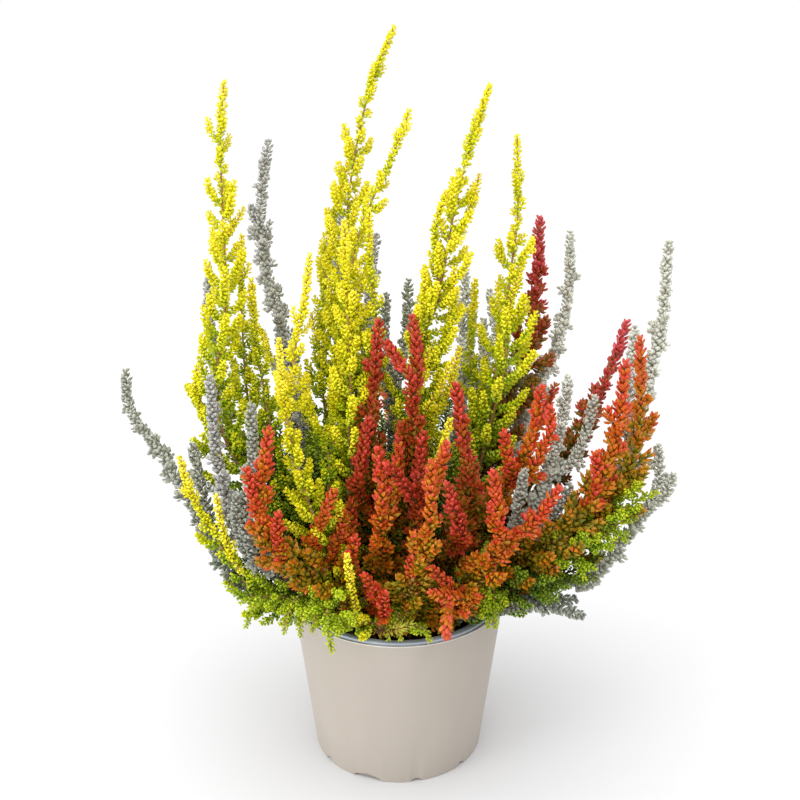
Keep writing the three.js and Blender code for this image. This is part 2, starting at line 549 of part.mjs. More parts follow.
// A shoot's closed skin: staggered rings round its line, with the diamond between each four corners raised
// into a leaf that leans up the shoot
function leafyShoot(shoot) {
  const kind = KINDS[shoot.kind];
  const sides = shoot.width < SLIM_WIDTH ? 3 : 4;
  const line = shoot.stem ? shoot.line : [shoot.line[0].clone().setZ(SOIL_TOP - STEM_BURIED), ...shoot.line];
  const buried = shoot.stem ? 0 : STEM_BURIED + STEM_COLLAR;
  const curve = new THREE.CatmullRomCurve3(line);
  curve.arcLengthDivisions = ARC_SAMPLES * line.length;
  const length = curve.getLength();
  const { places, leafy, pitch } = ringPlaces(shoot, length, buried);
  const frames = curve.computeFrenetFrames(FRAMES);
  const corners = [];
  const faces = [];
  const ringStart = (ring) => ring * sides;
  const at = (along, turns, radius) => {
    const share = along / length;
    const k = Math.round(share * FRAMES);
    const angle = (2 * Math.PI * turns) / sides + LEAF_TURN * shoot.node;
    const out = frames.normals[k].clone().multiplyScalar(Math.cos(angle));
    out.addScaledVector(frames.binormals[k], Math.sin(angle));
    return curve.getPointAt(share).addScaledVector(out, radius);
  };
  const outer = (along) => leafRadius(shoot.width, shoot.bare, along - buried, length - buried);
  const slimmest = STEM_RADIUS * STEM_CORE_SHARE;
  const coreRadius = (along) => Math.max(slimmest, outer(along) * kind.core);
  places.forEach((along, ring) => {
    const radius = along < leafy ? STEM_RADIUS : coreRadius(along);
    for (let k = 0; k < sides; k += 1) {
      corners.push(at(along, k + (ring % 2) / 2, radius));
    }
  });
  const last = places.length - 1;
  const tip = corners.push(curve.getPointAt(1)) - 1;
  const corner = (ring, k) => (ring > last ? tip : ringStart(ring) + ((k + sides) % sides));
  for (let k = 1; k < sides - 1; k += 1) {
    faces.push([corner(0, 0), corner(0, k + 1), corner(0, k)]);
  }
  for (let k = 0; k < sides; k += 1) {
    faces.push([corner(0, k), corner(0, k + 1), corner(1, k)]);
  }
  for (let ring = 1; ring <= last; ring += 1) {
    const along = places[ring];
    for (let k = 0; k < sides; k += 1) {
      const left = corner(ring, k);
      const right = corner(ring, k + 1);
      const middle = ring % 2 ? k + 1 : k;
      const below = corner(ring - 1, middle);
      const above = corner(ring + 1, middle);
      if (along < leafy) {
        faces.push([below, right, left], [left, right, above]);
      } else {
        const reach = Math.min(along + kind.lean * pitch, length - LEAF_TIP_ROOM);
        const leaf = corners.push(at(reach, k + (ring % 2) / 2 + 0.5, outer(along))) - 1;
        faces.push([below, right, leaf], [right, above, leaf], [above, left, leaf], [left, below, leaf]);
      }
    }
  }
  const geometry = new THREE.BufferGeometry();
  geometry.setAttribute("position", new THREE.Float32BufferAttribute(corners.flatMap((p) => p.toArray()), 3));
  geometry.setIndex(faces.flat());
  return geometry;
}

// The soil, lumpy on top, with a plain hole for each stem
function soil(feet) {
  const bottom = potFloor + POT_WALL + PIECE_GAP;
  const radius = (z) => potInside(z) - PIECE_GAP;
  const edge = radius(SOIL_TOP);
  const geometry = turned([
    [0, bottom], [radius(bottom), bottom], [edge, SOIL_TOP - EDGE_BEVEL],
    ...SOIL_RINGS.map((share) => [edge * share, SOIL_TOP]), [0, SOIL_TOP],
  ], POT_SEGMENTS);
  const place = geometry.attributes.position;
  for (let i = 0; i < place.count; i += 1) {
    if (place.getZ(i) > SOIL_TOP - SOIL_SKIN) {
      const lump = scatter(Math.round(place.getX(i)), Math.round(place.getY(i)));
      place.setZ(i, place.getZ(i) + SOIL_LUMP * (lump - SOIL_SINK));
    }
  }
  let solid = solidOf(geometry);
  for (const foot of feet) {
    const depth = STEM_BURIED + PIECE_GAP + 2 * SOIL_LUMP;
    const hole = new THREE.CylinderGeometry(HOLE_RADIUS, HOLE_RADIUS, depth, HOLE_SIDES);
    hole.rotateX(Math.PI / 2);
    hole.translate(foot.x, foot.y, SOIL_TOP - STEM_BURIED - PIECE_GAP + depth / 2);
    solid = solid.subtract(solidOf(hole));
  }
  return geometryOf(solid);
}

const part = new THREE.Group();

function add(name, geometry, colour, roughness) {
  geometry.computeVertexNormals();
  const material = new THREE.MeshStandardMaterial({ color: colour, roughness, metalness: 0 });
  const mesh = new THREE.Mesh(geometry, material);
  mesh.name = name;
  part.add(mesh);
}

const shoots = drawShoots();
bendClear(shoots);

add("cover_pot", coverPot(), 0xc9bfb4, 0.55);
add("grow_pot", growPot(), 0x8a929b, 0.45);
add("soil", soil(shoots.filter((shoot) => !shoot.stem).map((shoot) => shoot.line[0])), 0x2a2019, 0.95);

SHOOTS.forEach(([name, kind], node) => {
  let solid = null;
  for (const shoot of shoots.filter((one) => one.node === node)) {
    const leafy = solidOf(leafyShoot(shoot));
    solid = solid ? solid.add(leafy) : leafy;
  }
  add(name, geometryOf(solid), KINDS[kind].colour, 0.8);
});

export default part;
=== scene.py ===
# Looks for the potted heather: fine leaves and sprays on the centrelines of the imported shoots, smooth pots
# and crumbly soil. Metres, +Z up, the front towards -Y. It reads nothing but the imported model.
import math

import bmesh
import bpy
import numpy as np
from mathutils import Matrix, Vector


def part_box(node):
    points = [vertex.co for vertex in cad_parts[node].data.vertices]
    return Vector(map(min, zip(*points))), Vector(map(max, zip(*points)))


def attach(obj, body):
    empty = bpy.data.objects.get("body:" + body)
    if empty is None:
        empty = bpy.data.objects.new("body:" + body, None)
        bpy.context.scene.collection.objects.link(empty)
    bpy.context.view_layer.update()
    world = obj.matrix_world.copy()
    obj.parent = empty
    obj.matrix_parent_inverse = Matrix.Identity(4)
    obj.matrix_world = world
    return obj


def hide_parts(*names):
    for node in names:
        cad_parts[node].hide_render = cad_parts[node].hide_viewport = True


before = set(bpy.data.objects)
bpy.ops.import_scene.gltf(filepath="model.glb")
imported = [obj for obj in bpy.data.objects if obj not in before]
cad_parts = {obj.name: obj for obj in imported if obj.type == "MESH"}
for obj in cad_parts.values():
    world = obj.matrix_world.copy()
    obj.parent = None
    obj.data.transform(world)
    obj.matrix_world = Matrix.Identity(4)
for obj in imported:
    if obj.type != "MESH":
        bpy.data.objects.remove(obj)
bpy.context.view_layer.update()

MM = 0.001
FULL_TURN = 2 * math.pi
GOLDEN_TURN = math.pi * (3 - math.sqrt(5))
ANY_TURN = 6.3
UNDERGROWTH_SEED = 77
FIRST_SHOOT_SEED = 100
SOIL_SEED = 5

# The camera that took the photograph, worked out from the pot's edge
CAMERA_PLACE = (1 * MM, -550 * MM, 395 * MM)
CAMERA_DOWN = 18.7
FOCAL_PIXELS = 1079
PHOTO_PIXELS = 800
SENSOR = 36

# Pots and soil
COVER_SEGMENTS = 360
COVER_FOOT_RADIUS = 48.5 * MM
COVER_WALL = 1.1 * MM
COVER_BASE = 1.2 * MM
WALL_RINGS = (0.3, 0.6)
FOOT_FLAT_RADIUS = 43.5 * MM
FOOT_FLAT_EDGE = 1 * MM
EDGE_ROUND = 0.45 * MM
CREASE_DROP = 5.2 * MM
CREASE_DEPTH = 0.22 * MM
CREASE_HALF_WIDTH = 1.4 * MM
FOOT_EDGE = 1.4 * MM
# Depths below the cover pot's top where its painted highlight starts and where it is full
PAINTED_HIGHLIGHT_FROM = 0.6 * MM
PAINTED_HIGHLIGHT_FULL = 0.2 * MM
POT_SEGMENTS = 144
POT_RIM_DEPTH = 8.4 * MM
POT_RIM_WIDTH = 3.6 * MM
LEDGE_WIDTH = 2.2 * MM
LEDGE_DROP = 1.4 * MM
NECK_DROP = 3 * MM
POT_WALL = 1.3 * MM
POT_FOOT_GAP = 2 * MM
PIECE_GAP = 0.4 * MM
SOIL_TOP = 84 * MM
SOIL_RINGS = 30
SOIL_SPOKES = 120
SOIL_RINGS_CLOSER = 0.9
SOIL_EDGE_DROP = 1.5 * MM
SOIL_LUMP = 1.1 * MM
CRUMBS = 320
CRUMB_MILLIMETRES = (0.5, 1.5)
CRUMB_STRETCH = (0.7, 1.2)
CRUMB_DENTS = (0.75, 1.2)
CRUMB_RAISED = 0.1 * MM
CRUMB_EDGE_GAP = 2 * MM

# Waves in the soil, each in radians a millimetre, its share of the lumps' height and its direction in
# radians, and how one way's waves bend the other's: how far and how fast
SOIL_WAVES = [(0.35, 0.4, 0.3), (0.8, 0.3, 1.7), (1.7, 0.2, 2.9), (3.1, 0.1, 4.4)]
SOIL_BENDS = [(1.3, 0.7), (1.1, 0.6)]

# Low arches in the cover pot's foot: degrees from the front, half width in degrees and height in
# millimetres. They come again half a turn on
FOOT_ARCHES = [(-54, 4, 2), (-21, 10, 3.4), (12, 4, 2.2), (47, 4, 2)]

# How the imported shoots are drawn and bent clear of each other
STEM_RADIUS = 1.6 * MM
STEM_BURIED = 7.6 * MM
STEM_COLLAR = 2 * MM
STEM_UPRIGHT = 13 * MM
STEM_SPLAY = 1.05
FEET_RADIUS = 44 * MM
FEET_SPREAD = 62 * MM
FEET_SPACING = 8.6 * MM
FEET_ROUNDS = 400
FEET_SLOWNESS = 4
LINE_SAMPLES = 24
LEAST_STEPS = 3
STEP = 7 * MM
FORK_DROP = 1.3
SHOOT_GAP = 1.5 * MM
RIM_GAP = 0.8 * MM
POT_RIM_TOP = 94.6 * MM
CLEAR_ROUNDS = 240
NEAR_ROUNDS = 10
NEAR_GAP = 6 * MM
CLEAR_WEIGHTS = np.array((0.6, 1, 0.45))
CLEAR_SHARE = 0.3
SMOOTH_SHARE = 0.3
STIFF_KNOTS = 4
LIFT_FROM_LOOSE = 0.3
RIM_MARGIN = 1 * MM
SIDE_START = (0.31, 0.93, 0.2)
BARE_STEM = 26 * MM
BARE_FORK = 8 * MM
FILL_OUT = 25 * MM
TIP_TAPER = 22 * MM
TIP_BLUNTNESS = 0.7

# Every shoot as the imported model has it, in millimetres: its name, which starts with its kind, the width of
# its leaves and its route up to the tip, then its side shoots, each with its width and route
SHOOTS = [
  ["yellow_tall_left", 11, [[-94, -6, 194], [-91, 6, 262], [-91, 12, 311], [-91, 16, 344], [-88, 18, 372]],
    [7, [[-100, -7, 193], [-106, -8, 216], [-105, -8, 231]]],
    [6, [[-90, 10, 294], [-84, 12, 303], [-80, 14, 310]]]],
  ["yellow_left_pair", 9, [[-74, -4, 170], [-83, 12, 205], [-86, 26, 252], [-85, 32, 292]],
    [7, [[-69, -2, 187], [-72, 4, 205], [-77, 10, 242], [-78, 12, 272]]]],
  ["yellow_bright_left", 11, [[-43, -38, 153], [-53, -32, 186], [-59, -24, 217], [-61, -18, 247]],
    [7, [[-56, -18, 212], [-54, -6, 239], [-49, 2, 263], [-46, 6, 286]]]],
  ["yellow_mid_left", 8, [[-36, -26, 162], [-37, -18, 184], [-46, -10, 204], [-49, -6, 226]],
    [6, [[-34, -10, 190], [-34, -2, 210], [-31, 4, 230]]]],
  ["yellow_back_left", 10, [[-42, 26, 200], [-42, 48, 252], [-42, 60, 288]],
    [6, [[-43, 34, 218], [-47, 42, 234], [-49, 44, 246]]]],
  ["yellow_tallest", 9, [[-29, 24, 241], [-29, 36, 283], [-25, 44, 325], [-15, 50, 368], [-2, 52, 399]],
    [6, [[-38, 34, 250], [-40, 42, 276], [-34, 52, 306], [-28, 58, 328]]]],
  ["yellow_arching", 6, [[-27, 4, 247], [-24, 12, 282], [-17, 18, 305], [-4, 22, 333], [6, 24, 358]],
    [7, [[-17, -4, 227], [-12, 0, 254], [-15, 4, 283], [-15, 6, 310]]]],
  ["yellow_column", 11, [[-25, -12, 182], [-24, -6, 222], [-26, 0, 264], [-27, 4, 305]]],
  ["yellow_tall_right", 12, [[11, -4, 227], [21, 2, 264], [29, 8, 309], [37, 10, 343], [46, 12, 371]],
    [7, [[22, 2, 269], [19, 4, 299], [25, 4, 320]]],
    [6, [[15, -4, 241], [13, -4, 260], [14, -4, 280]]],
    [6, [[31, 10, 295], [39, 14, 314], [42, 16, 327]]],
    [8, [[22, -4, 238], [28, -2, 259], [29, -2, 281]]]],
  ["yellow_bush_right", 11, [[7, -22, 208], [12, -20, 226], [15, -18, 242]],
    [9, [[13, -24, 209], [22, -22, 224], [28, -20, 238]]],
    [8, [[18, -18, 204], [27, -12, 221], [32, -8, 240]]],
    [5, [[20, -34, 186], [24, -36, 199], [27, -36, 210]]]],
  ["yellow_right", 11, [[52, -4, 207], [58, 4, 236], [59, 12, 269], [63, 20, 305], [62, 26, 345]],
    [6, [[58, 6, 249], [61, 8, 267], [65, 10, 279]]],
    [7, [[45, 14, 198], [43, 30, 216], [45, 46, 238], [47, 56, 262]]],
    [7, [[50, 14, 198], [54, 32, 216], [57, 50, 237], [56, 62, 260]]]],
  ["yellow_diagonal_left", 9, [[-68, -46, 107], [-81, -42, 123], [-98, -36, 149], [-109, -32, 171],
    [-113, -30, 188]],
    [6, [[-83, -44, 132], [-89, -42, 150], [-92, -40, 171]]]],
  ["yellow_front", 10, [[-19, -57, 107], [-24, -60, 127], [-26, -62, 148]]],
  ["yellow_rear_left", 10, [[-42, 36, 130], [-66, 54, 190], [-84, 66, 236]],
    [7, [[-42, 44, 130], [-54, 66, 165], [-62, 84, 205]]]],
  ["lime_low_right", 9, [[84, -44, 143], [104, -42, 156], [119, -36, 168], [130, -34, 172]],
    [7, [[90, -46, 144], [105, -46, 154], [115, -44, 163]]]],
  ["lime_left_outer", 12, [[-64, -46, 116], [-74, -50, 112], [-78, -52, 101]],
    [8, [[-61, -40, 110], [-69, -38, 115], [-75, -34, 122]]]],
  ["lime_left_inner", 13, [[-48, -48, 119], [-56, -56, 115], [-59, -62, 104]],
    [9, [[-46, -50, 117], [-50, -60, 112], [-50, -64, 103]]]],
  ["lime_left_rim", 13, [[-35, -54, 122], [-36, -62, 115], [-34, -66, 101]],
    [9, [[-37, -52, 121], [-42, -60, 119], [-44, -64, 111]]]],
  ["lime_right_rim", 12, [[39, -50, 125], [42, -57, 118], [43, -58, 104]],
    [10, [[48, -44, 126], [51, -50, 118], [52, -52, 102]]]],
  ["lime_front_sprigs", 8, [[0, -54, 112], [-1, -60, 108], [1, -64, 100]],
    [7, [[5, -58, 105], [12, -61, 107], [16, -65, 100]]],
    [6, [[-2, -54, 113], [-5, -60, 107], [-7, -64, 100]]]],
  ["lime_rear", 12, [[-6, 50, 108], [-8, 66, 122], [-14, 84, 116]],
    [10, [[-14, 48, 106], [-30, 62, 120], [-42, 76, 116]]]],
  ["green_left", 13, [[-51, -14, 123], [-54, -8, 142], [-54, -4, 160]],
    [10, [[-45, -9, 120], [-44, -4, 134], [-42, 2, 149]]]],
  ["green_right_low", 12, [[64, -42, 128], [85, -42, 131], [101, -40, 132]],
    [10, [[70, -38, 129], [91, -36, 134], [106, -34, 142]]]],
  ["grey_far_left", 10, [[-83, -30, 112], [-108, -16, 147], [-127, -4, 177], [-146, 6, 200], [-148, 10, 222]],
    [7, [[-101, -22, 150], [-106, -18, 170], [-109, -16, 189]]]],
  ["grey_tall_left", 12, [[-57, 14, 192], [-64, 36, 235], [-76, 52, 273], [-77, 60, 307], [-72, 64, 339]],
    [6, [[-76, 56, 280], [-80, 60, 292], [-83, 60, 304]]]],
  ["grey_left_back", 9, [[-87, 4, 172], [-98, 20, 202], [-105, 34, 239], [-106, 40, 266]]],
  ["grey_mauve", 9, [[-79, -38, 140], [-91, -32, 164], [-96, -26, 196], [-97, -22, 228]]],
  ["grey_left_inner", 8, [[-72, -46, 137], [-78, -44, 164], [-74, -40, 190], [-74, -36, 218]],
    [6, [[-76, -46, 137], [-82, -46, 154], [-82, -46, 173]]]],
  ["grey_back_centre", 8, [[-34, 52, 222], [-35, 72, 259], [-34, 84, 296]],
    [7, [[-19, 54, 221], [-17, 76, 252], [-13, 90, 282]]]],
  ["grey_centre", 9, [[-2, 22, 201], [4, 40, 231], [6, 52, 263]],
    [6, [[-6, 34, 209], [-8, 52, 231], [-7, 62, 252]]]],
  ["grey_back_right", 8, [[37, 42, 198], [38, 66, 230], [40, 82, 264]],
    [8, [[43, 24, 195], [48, 34, 218], [48, 40, 243]]],
    [6, [[39, 48, 208], [43, 64, 231], [45, 76, 254]]]],
  ["grey_tall_right", 13, [[68, 18, 194], [88, 42, 225], [97, 58, 256], [98, 68, 288]],
    [6, [[63, 50, 204], [58, 78, 227], [55, 90, 248]]]],
  ["grey_far_right", 12, [[108, -24, 155], [126, -8, 189], [137, 8, 223], [143, 16, 249], [145, 24, 290]],
    [8, [[123, -8, 195], [125, 2, 219], [127, 8, 247]]]],
  ["grey_thick_right", 13, [[69, -38, 150], [80, -34, 175], [87, -28, 205], [89, -26, 227]],
    [8, [[93, -26, 179], [101, -18, 193], [105, -14, 212]]]],
  ["grey_right_arm", 13, [[97, -36, 120], [122, -30, 143], [137, -24, 167], [137, -20, 190]],
    [10, [[130, -28, 155], [141, -26, 164], [145, -24, 175]]]],
  ["grey_low_right", 9, [[61, -46, 115], [81, -46, 114], [95, -46, 110]],
    [8, [[66, -40, 117], [78, -40, 116], [92, -38, 115]]]],
  ["grey_green_right", 9, [[59, -46, 145], [63, -50, 170], [65, -50, 186]],
    [8, [[74, -44, 144], [86, -44, 161], [91, -42, 171]]]],
  ["grey_rear_left", 11, [[-20, 50, 120], [-28, 78, 165], [-34, 100, 204]],
    [7, [[-26, 50, 114], [-48, 70, 140], [-66, 92, 170]]]],
  ["grey_rear_right", 11, [[30, 50, 120], [48, 78, 168], [58, 100, 208]],
    [7, [[38, 48, 116], [64, 66, 142], [86, 84, 176]]]],
  ["red_front_left", 14, [[-30, -48, 117], [-50, -56, 136], [-66, -60, 155], [-68, -58, 181],
    [-63, -54, 211]],
    [7, [[-68, -60, 161], [-71, -60, 177], [-74, -60, 192]]],
    [8, [[-58, -60, 144], [-60, -64, 157], [-59, -66, 170]]]],
  ["red_dark_centre", 9, [[-14, -20, 185], [-13, -14, 219], [-10, -8, 254]],
    [7, [[-21, -34, 171], [-18, -32, 190], [-15, -30, 208]]]],
  ["red_slant_centre", 6, [[7, -26, 218], [1, -20, 233], [-6, -18, 246]],
    [6, [[9, -22, 225], [9, -14, 244], [7, -10, 257]]]],
  ["red_dark_right", 9, [[35, -44, 167], [32, -36, 200], [28, -30, 226]],
    [9, [[33, -60, 155], [28, -66, 173], [24, -66, 187]]]],
  ["red_mid_pair", 9, [[-9, -48, 152], [-8, -48, 178], [-10, -46, 198]],
    [7, [[-2, -38, 167], [1, -30, 185], [3, -24, 204]]]],
  ["red_thin_pair", 7, [[10, -44, 167], [10, -40, 182], [13, -36, 203]],
    [5, [[10, -48, 168], [3, -52, 182], [-5, -56, 194]]]],
  ["red_orange_front", 11, [[5, -56, 119], [13, -62, 150], [16, -64, 173], [16, -62, 197]],
    [6, [[18, -56, 181], [21, -54, 193], [24, -52, 203]]],
    [8, [[4, -56, 117], [6, -60, 130], [6, -64, 146]]]],
  ["red_orange_left", 9, [[-43, -50, 139], [-37, -54, 162], [-32, -52, 174]],
    [6, [[-34, -46, 137], [-29, -46, 151], [-28, -46, 161]]],
    [6, [[-26, -38, 133], [-24, -34, 148], [-24, -32, 163]]]],
  ["red_small_front", 7, [[-22, -50, 121], [-25, -52, 140], [-23, -54, 153]],
    [7, [[-9, -56, 117], [-13, -62, 128], [-17, -66, 138]]],
    [6, [[-5, -58, 111], [-6, -64, 120], [-5, -68, 129]]]],
  ["red_big_right", 13, [[64, -40, 134], [83, -46, 153], [102, -40, 180], [111, -34, 207], [114, -28, 239]],
    [8, [[96, -44, 167], [100, -44, 181], [98, -44, 196]]]],
  ["red_orange_right", 11, [[104, -34, 154], [122, -26, 179], [127, -20, 205], [125, -14, 246]],
    [7, [[101, -36, 154], [108, -34, 165], [113, -34, 177]]]],
  ["red_narrow_right", 6, [[95, -8, 186], [104, 4, 202], [117, 16, 222], [126, 26, 245]]],
  ["red_front_right", 12, [[50, -60, 146], [51, -66, 172], [48, -64, 193]],
    [9, [[57, -58, 151], [72, -60, 168], [81, -60, 183]]]],
  ["red_fork_right", 8, [[61, -38, 185], [69, -34, 204], [73, -30, 225]],
    [8, [[66, -41, 183], [76, -42, 204], [76, -40, 218]]],
    [7, [[59, -42, 181], [55, -44, 194], [53, -46, 207]]]],
  ["red_tall_far", 11, [[55, 12, 199], [70, 28, 222], [76, 38, 261], [77, 44, 299]]],
  ["red_lying_front", 10, [[35, -60, 121], [26, -68, 129], [17, -72, 134]],
    [9, [[27, -62, 123], [25, -66, 118], [25, -66, 106]]],
    [9, [[31, -58, 125], [24, -62, 134], [17, -66, 144]]]],
  ["red_rear_centre", 11, [[10, 52, 122], [12, 82, 172], [12, 104, 214]],
    [8, [[8, 56, 116], [0, 84, 146], [-10, 112, 180]]]],
  ["red_rear_right", 10, [[46, 34, 116], [72, 46, 158], [92, 52, 200]]],
]


# Leaves: each is a small closed body. Of a corner, along is a share of the leaf's length, side and keel are
# shares of its half width, and pale is how much lighter than the rest of the leaf it is
KEEL_FRONT = 0.3
TIP_LIFT = 0.1


def leaf_shape(root, rings, tip=None):
    """Corners and faces of a leaf from its root through rings of three corners (along, side, keel, pale) to
    its tip, or to a blunt end. Root and tip are given as how much paler they are."""
    corners = [(0, 0, 0, root)]
    for along, side, keel, pale in rings:
        front = KEEL_FRONT * keel
        corners += [(along, side, front, pale), (along, -side, front, pale), (along, 0, -keel, pale / 2)]
    faces = [(2, 1, 0), (3, 2, 0), (1, 3, 0)]
    for ring in range(len(rings) - 1):
        low = 1 + 3 * ring
        for k in range(3):
            a, b = low + k, low + (k + 1) % 3
            faces += [(a, b, b + 3), (a, b + 3, a + 3)]
    low = 1 + 3 * (len(rings) - 1)
    if tip is None:
        faces.append((low, low + 1, low + 2))
    else:
        corners.append((1, 0, TIP_LIFT, tip))
        faces += [(low + k, low + (k + 1) % 3, len(corners) - 1) for k in range(3)]
    return np.array(corners, float), np.array(faces)


BEAD_LEAF = leaf_shape(-0.14, [(1, 1, 0.95, 0.06)])
SCALE_LEAF = leaf_shape(-0.22, [(0.6, 1, 0.9, 0)], 0.14)
CLUB_LEAF = leaf_shape(-0.16, [(0.72, 1, 0.8, 0.1)], 0.22)
PLUMP_LEAF = leaf_shape(-0.28, [(0.42, 0.95, 0.85, -0.06), (0.82, 0.85, 0.75, 0.08)], 0.16)
NEEDLE_LEAF = leaf_shape(-0.2, [(0.3, 1, 0.8, 0)], 0.2)

# Each kind, with its lengths in millimetres: its leaf, and low_leaf where those low down are plainer, the
# leaf's length and half width, leaves in a round, distance between rounds on the stem and on a spray, how
# far below its tip the stem itself is closely leafy, how far a leaf leans out in degrees and how much
# leaves differ in shade. Then its sprays: how much brighter their tips are, the distance between them, how
# strongly they stand in bunches, the shortest and longest, how far they lean out near the tip and low down
# in degrees, and how far below a tip they are at full length. Then its shades: young is the shade away from
# a tip, what a tip adds and how far down that reaches, and high is the shade low down, what height adds,
# from what height and over how much. Last its colours and slot
KINDS = {
    "yellow": dict(
        leaf=BEAD_LEAF, length=2.5, half=0.9, whorl=3, pitch=1.15, spray_pitch=1.15, spike=42, lean=40,
        vary=0.05, ripen=0.34, gap=4.4, bunch=0.5, sprays=(9, 26), out=(16, 38), full=110,
        young=(0.18, 0.72, 70), high=(0.2, 0.42, 115, 170), colours=("yellow", "tan"), slot="yellow_leaves"),
    "lime": dict(
        leaf=BEAD_LEAF, length=2.4, half=0.86, whorl=3, pitch=1.3, spray_pitch=1.15, spike=100, lean=46,
        vary=0.06, ripen=0.3, gap=2.9, bunch=0.2, sprays=(9, 23), out=(34, 54), full=40,
        young=(0.38, 0.3, 40), colours=("lime", "tan"), slot="lime_leaves"),
    "green": dict(
        leaf=BEAD_LEAF, length=2.7, half=0.95, whorl=3, pitch=1.5, spray_pitch=1.35, spike=100, lean=44,
        vary=0.07, ripen=0.36, gap=3.4, bunch=0.2, sprays=(8, 24), out=(28, 46), full=50,
        young=(0.3, 0.25, 40), colours=("green", "brown"), slot="green_leaves"),
    "grey": dict(
        leaf=CLUB_LEAF, length=4.3, half=1.3, whorl=5, pitch=1.9, spray_pitch=2.3, spike=300, lean=48,
        vary=0.07, ripen=0.12, gap=6.4, bunch=0.3, sprays=(5, 10), out=(34, 44), full=50,
        high=(0.42, 0.26, 100, 80), colours=("silver grey", "pinkish"), slot="silver_grey_leaves"),
    "red": dict(
        leaf=PLUMP_LEAF, low_leaf=SCALE_LEAF, length=5.1, half=1.22, whorl=4, pitch=2, spray_pitch=2,
        spike=300, lean=40, vary=0.14, ripen=0.2, gap=4.6, bunch=0.25, sprays=(5, 22), out=(26, 46),
        full=110, young=(0.14, 0.72, 88), colours=("red", "brown"), slot="red_leaves"),
    "olive": dict(
        leaf=SCALE_LEAF, length=4, half=0.95, whorl=4, pitch=2.1, spray_pitch=2, spike=300, lean=42,
        vary=0.14, ripen=0.3, gap=4, bunch=0.2, sprays=(6, 16), out=(30, 46), full=40, young=(0.1, 0.5, 50),
        colours=("olive", "brown"), slot=None),
    "dry": dict(
        leaf=NEEDLE_LEAF, length=4.6, half=0.42, whorl=4, pitch=1.3, spray_pitch=1.3, spike=100, lean=48,
        vary=0.12, ripen=0.3, gap=4, bunch=0, sprays=(8, 14), out=(34, 40), full=16, young=(0.4, 0.5, 18),
        colours=("dry", "brown"), slot=None),
}


def unit(vectors):
    return vectors / np.maximum(np.linalg.norm(vectors, axis=-1, keepdims=True), 1e-12)


def clamp01(values):
    return np.clip(values, 0, 1)


def vary(rng, amount, size=None):
    return rng.uniform(-amount, amount, size)


def as_light(stops):
    """Stops for a ramp from rows of a place, then red, green and blue as a picture shows them."""
    return [(place, [c / 12.92 if c <= 0.04045 else ((c + 0.055) / 1.055) ** 2.4 for c in colour] + [1])
            for place, *colour in stops]


# Centrelines

def fine_line(points):
    """A smooth line through the given points, in fine steps."""
    ends = [2 * points[0] - points[1], *points, 2 * points[-1] - points[-2]]
    t = (np.arange(LINE_SAMPLES) / LINE_SAMPLES)[:, None]
    pieces = []
    for a, b, c, d in zip(ends, ends[1:], ends[2:], ends[3:]):
        pieces.append(0.5 * (2 * b + (c - a) * t + (2 * a - 5 * b + 4 * c - d) * t ** 2
                             + (3 * b - a - 3 * c + d) * t ** 3))
    return np.concatenate([*pieces, points[-1][None]])


def even_line(points, step):
    """The smooth line as points about a step apart, and their distances from its start."""
    line = fine_line(points)
    along = np.concatenate([[0], np.cumsum(np.linalg.norm(np.diff(line, axis=0), axis=1))])
    wanted = np.linspace(0, along[-1], max(LEAST_STEPS, round(along[-1] / step)) + 1)
    return np.stack([np.interp(wanted, along, line[:, axis]) for axis in range(3)], 1), wanted


def push_apart(places, fixed, spacing, slowness, rounds):
    """The places on the soil after the first few, which stay fixed, pushed until all stand apart."""
    for _ in range(rounds):
        away = places[:, None] - places[None]
        apart = np.linalg.norm(away, axis=2)
        np.fill_diagonal(apart, np.inf)
        push = np.maximum(spacing - apart, 0) / apart / slowness
        places[fixed:] += (away * push[..., None]).sum(1)[fixed:]
        places *= np.minimum(1, FEET_RADIUS / np.linalg.norm(places, axis=1, keepdims=True))
    return places[fixed:]


def place_feet(routes):
    """Where each shoot stands in the soil: on its own side of the pot, and apart from the others."""
    low = np.array([route[0][:2] for route in routes])
    reach = np.linalg.norm(low, axis=1, keepdims=True)
    feet = low / reach * FEET_RADIUS * np.tanh(reach / FEET_SPREAD)
    return push_apart(feet, 0, FEET_SPACING, FEET_SLOWNESS, FEET_ROUNDS)


def leaf_radius(width, bare, along, length):
    """Outer radius of the leaves at a distance from the shoot's root, for a shoot of that whole length."""
    spread = width / 2 - STEM_RADIUS
    grown = STEM_RADIUS + spread * clamp01((along - bare) / FILL_OUT)
    tapered = STEM_RADIUS + spread * clamp01((length - along) / TIP_TAPER) ** TIP_BLUNTNESS
    return np.minimum(grown, tapered)


def draw_shoots():
    """The centrelines of all shoots and side shoots, before they are bent clear."""
    routes = [np.array(row[2], float) * MM for row in SHOOTS]
    shoots = []
    for node, foot in enumerate(place_feet(routes)):
        name, width, _, *sides = SHOOTS[node]
        collar = np.array([*foot, SOIL_TOP + STEM_COLLAR])
        upright = np.array([*(foot * STEM_SPLAY), SOIL_TOP + STEM_UPRIGHT])
        line = even_line([collar, upright, *routes[node]], STEP)[0]
        main = dict(node=node, name=name, width=width * MM, line=line, bare=BARE_STEM, stem=None)
        shoots.append(main)
        for side_width, side_route in sides:
            side_points = [np.array(point, float) * MM for point in side_route]
            apart = np.linalg.norm(line - side_points[0], axis=1)
            nearest = int(apart.argmin())
            at = max(2, nearest - max(1, round(FORK_DROP * apart[nearest] / STEP)))
            side_line = even_line([line[at], *side_points], STEP)[0]
            shoots.append(dict(node=node, name=name, width=side_width * MM, line=side_line, bare=BARE_FORK,
                               stem=main, at=at))
    return shoots


def cover_inside(z):
    """Inner radius of the cover pot at a height."""
    foot, rim = COVER_FOOT_RADIUS - COVER_WALL, COVER_RIM_RADIUS - COVER_WALL
    return np.interp(z, (COVER_BASE, COVER_HEIGHT), (foot, rim))


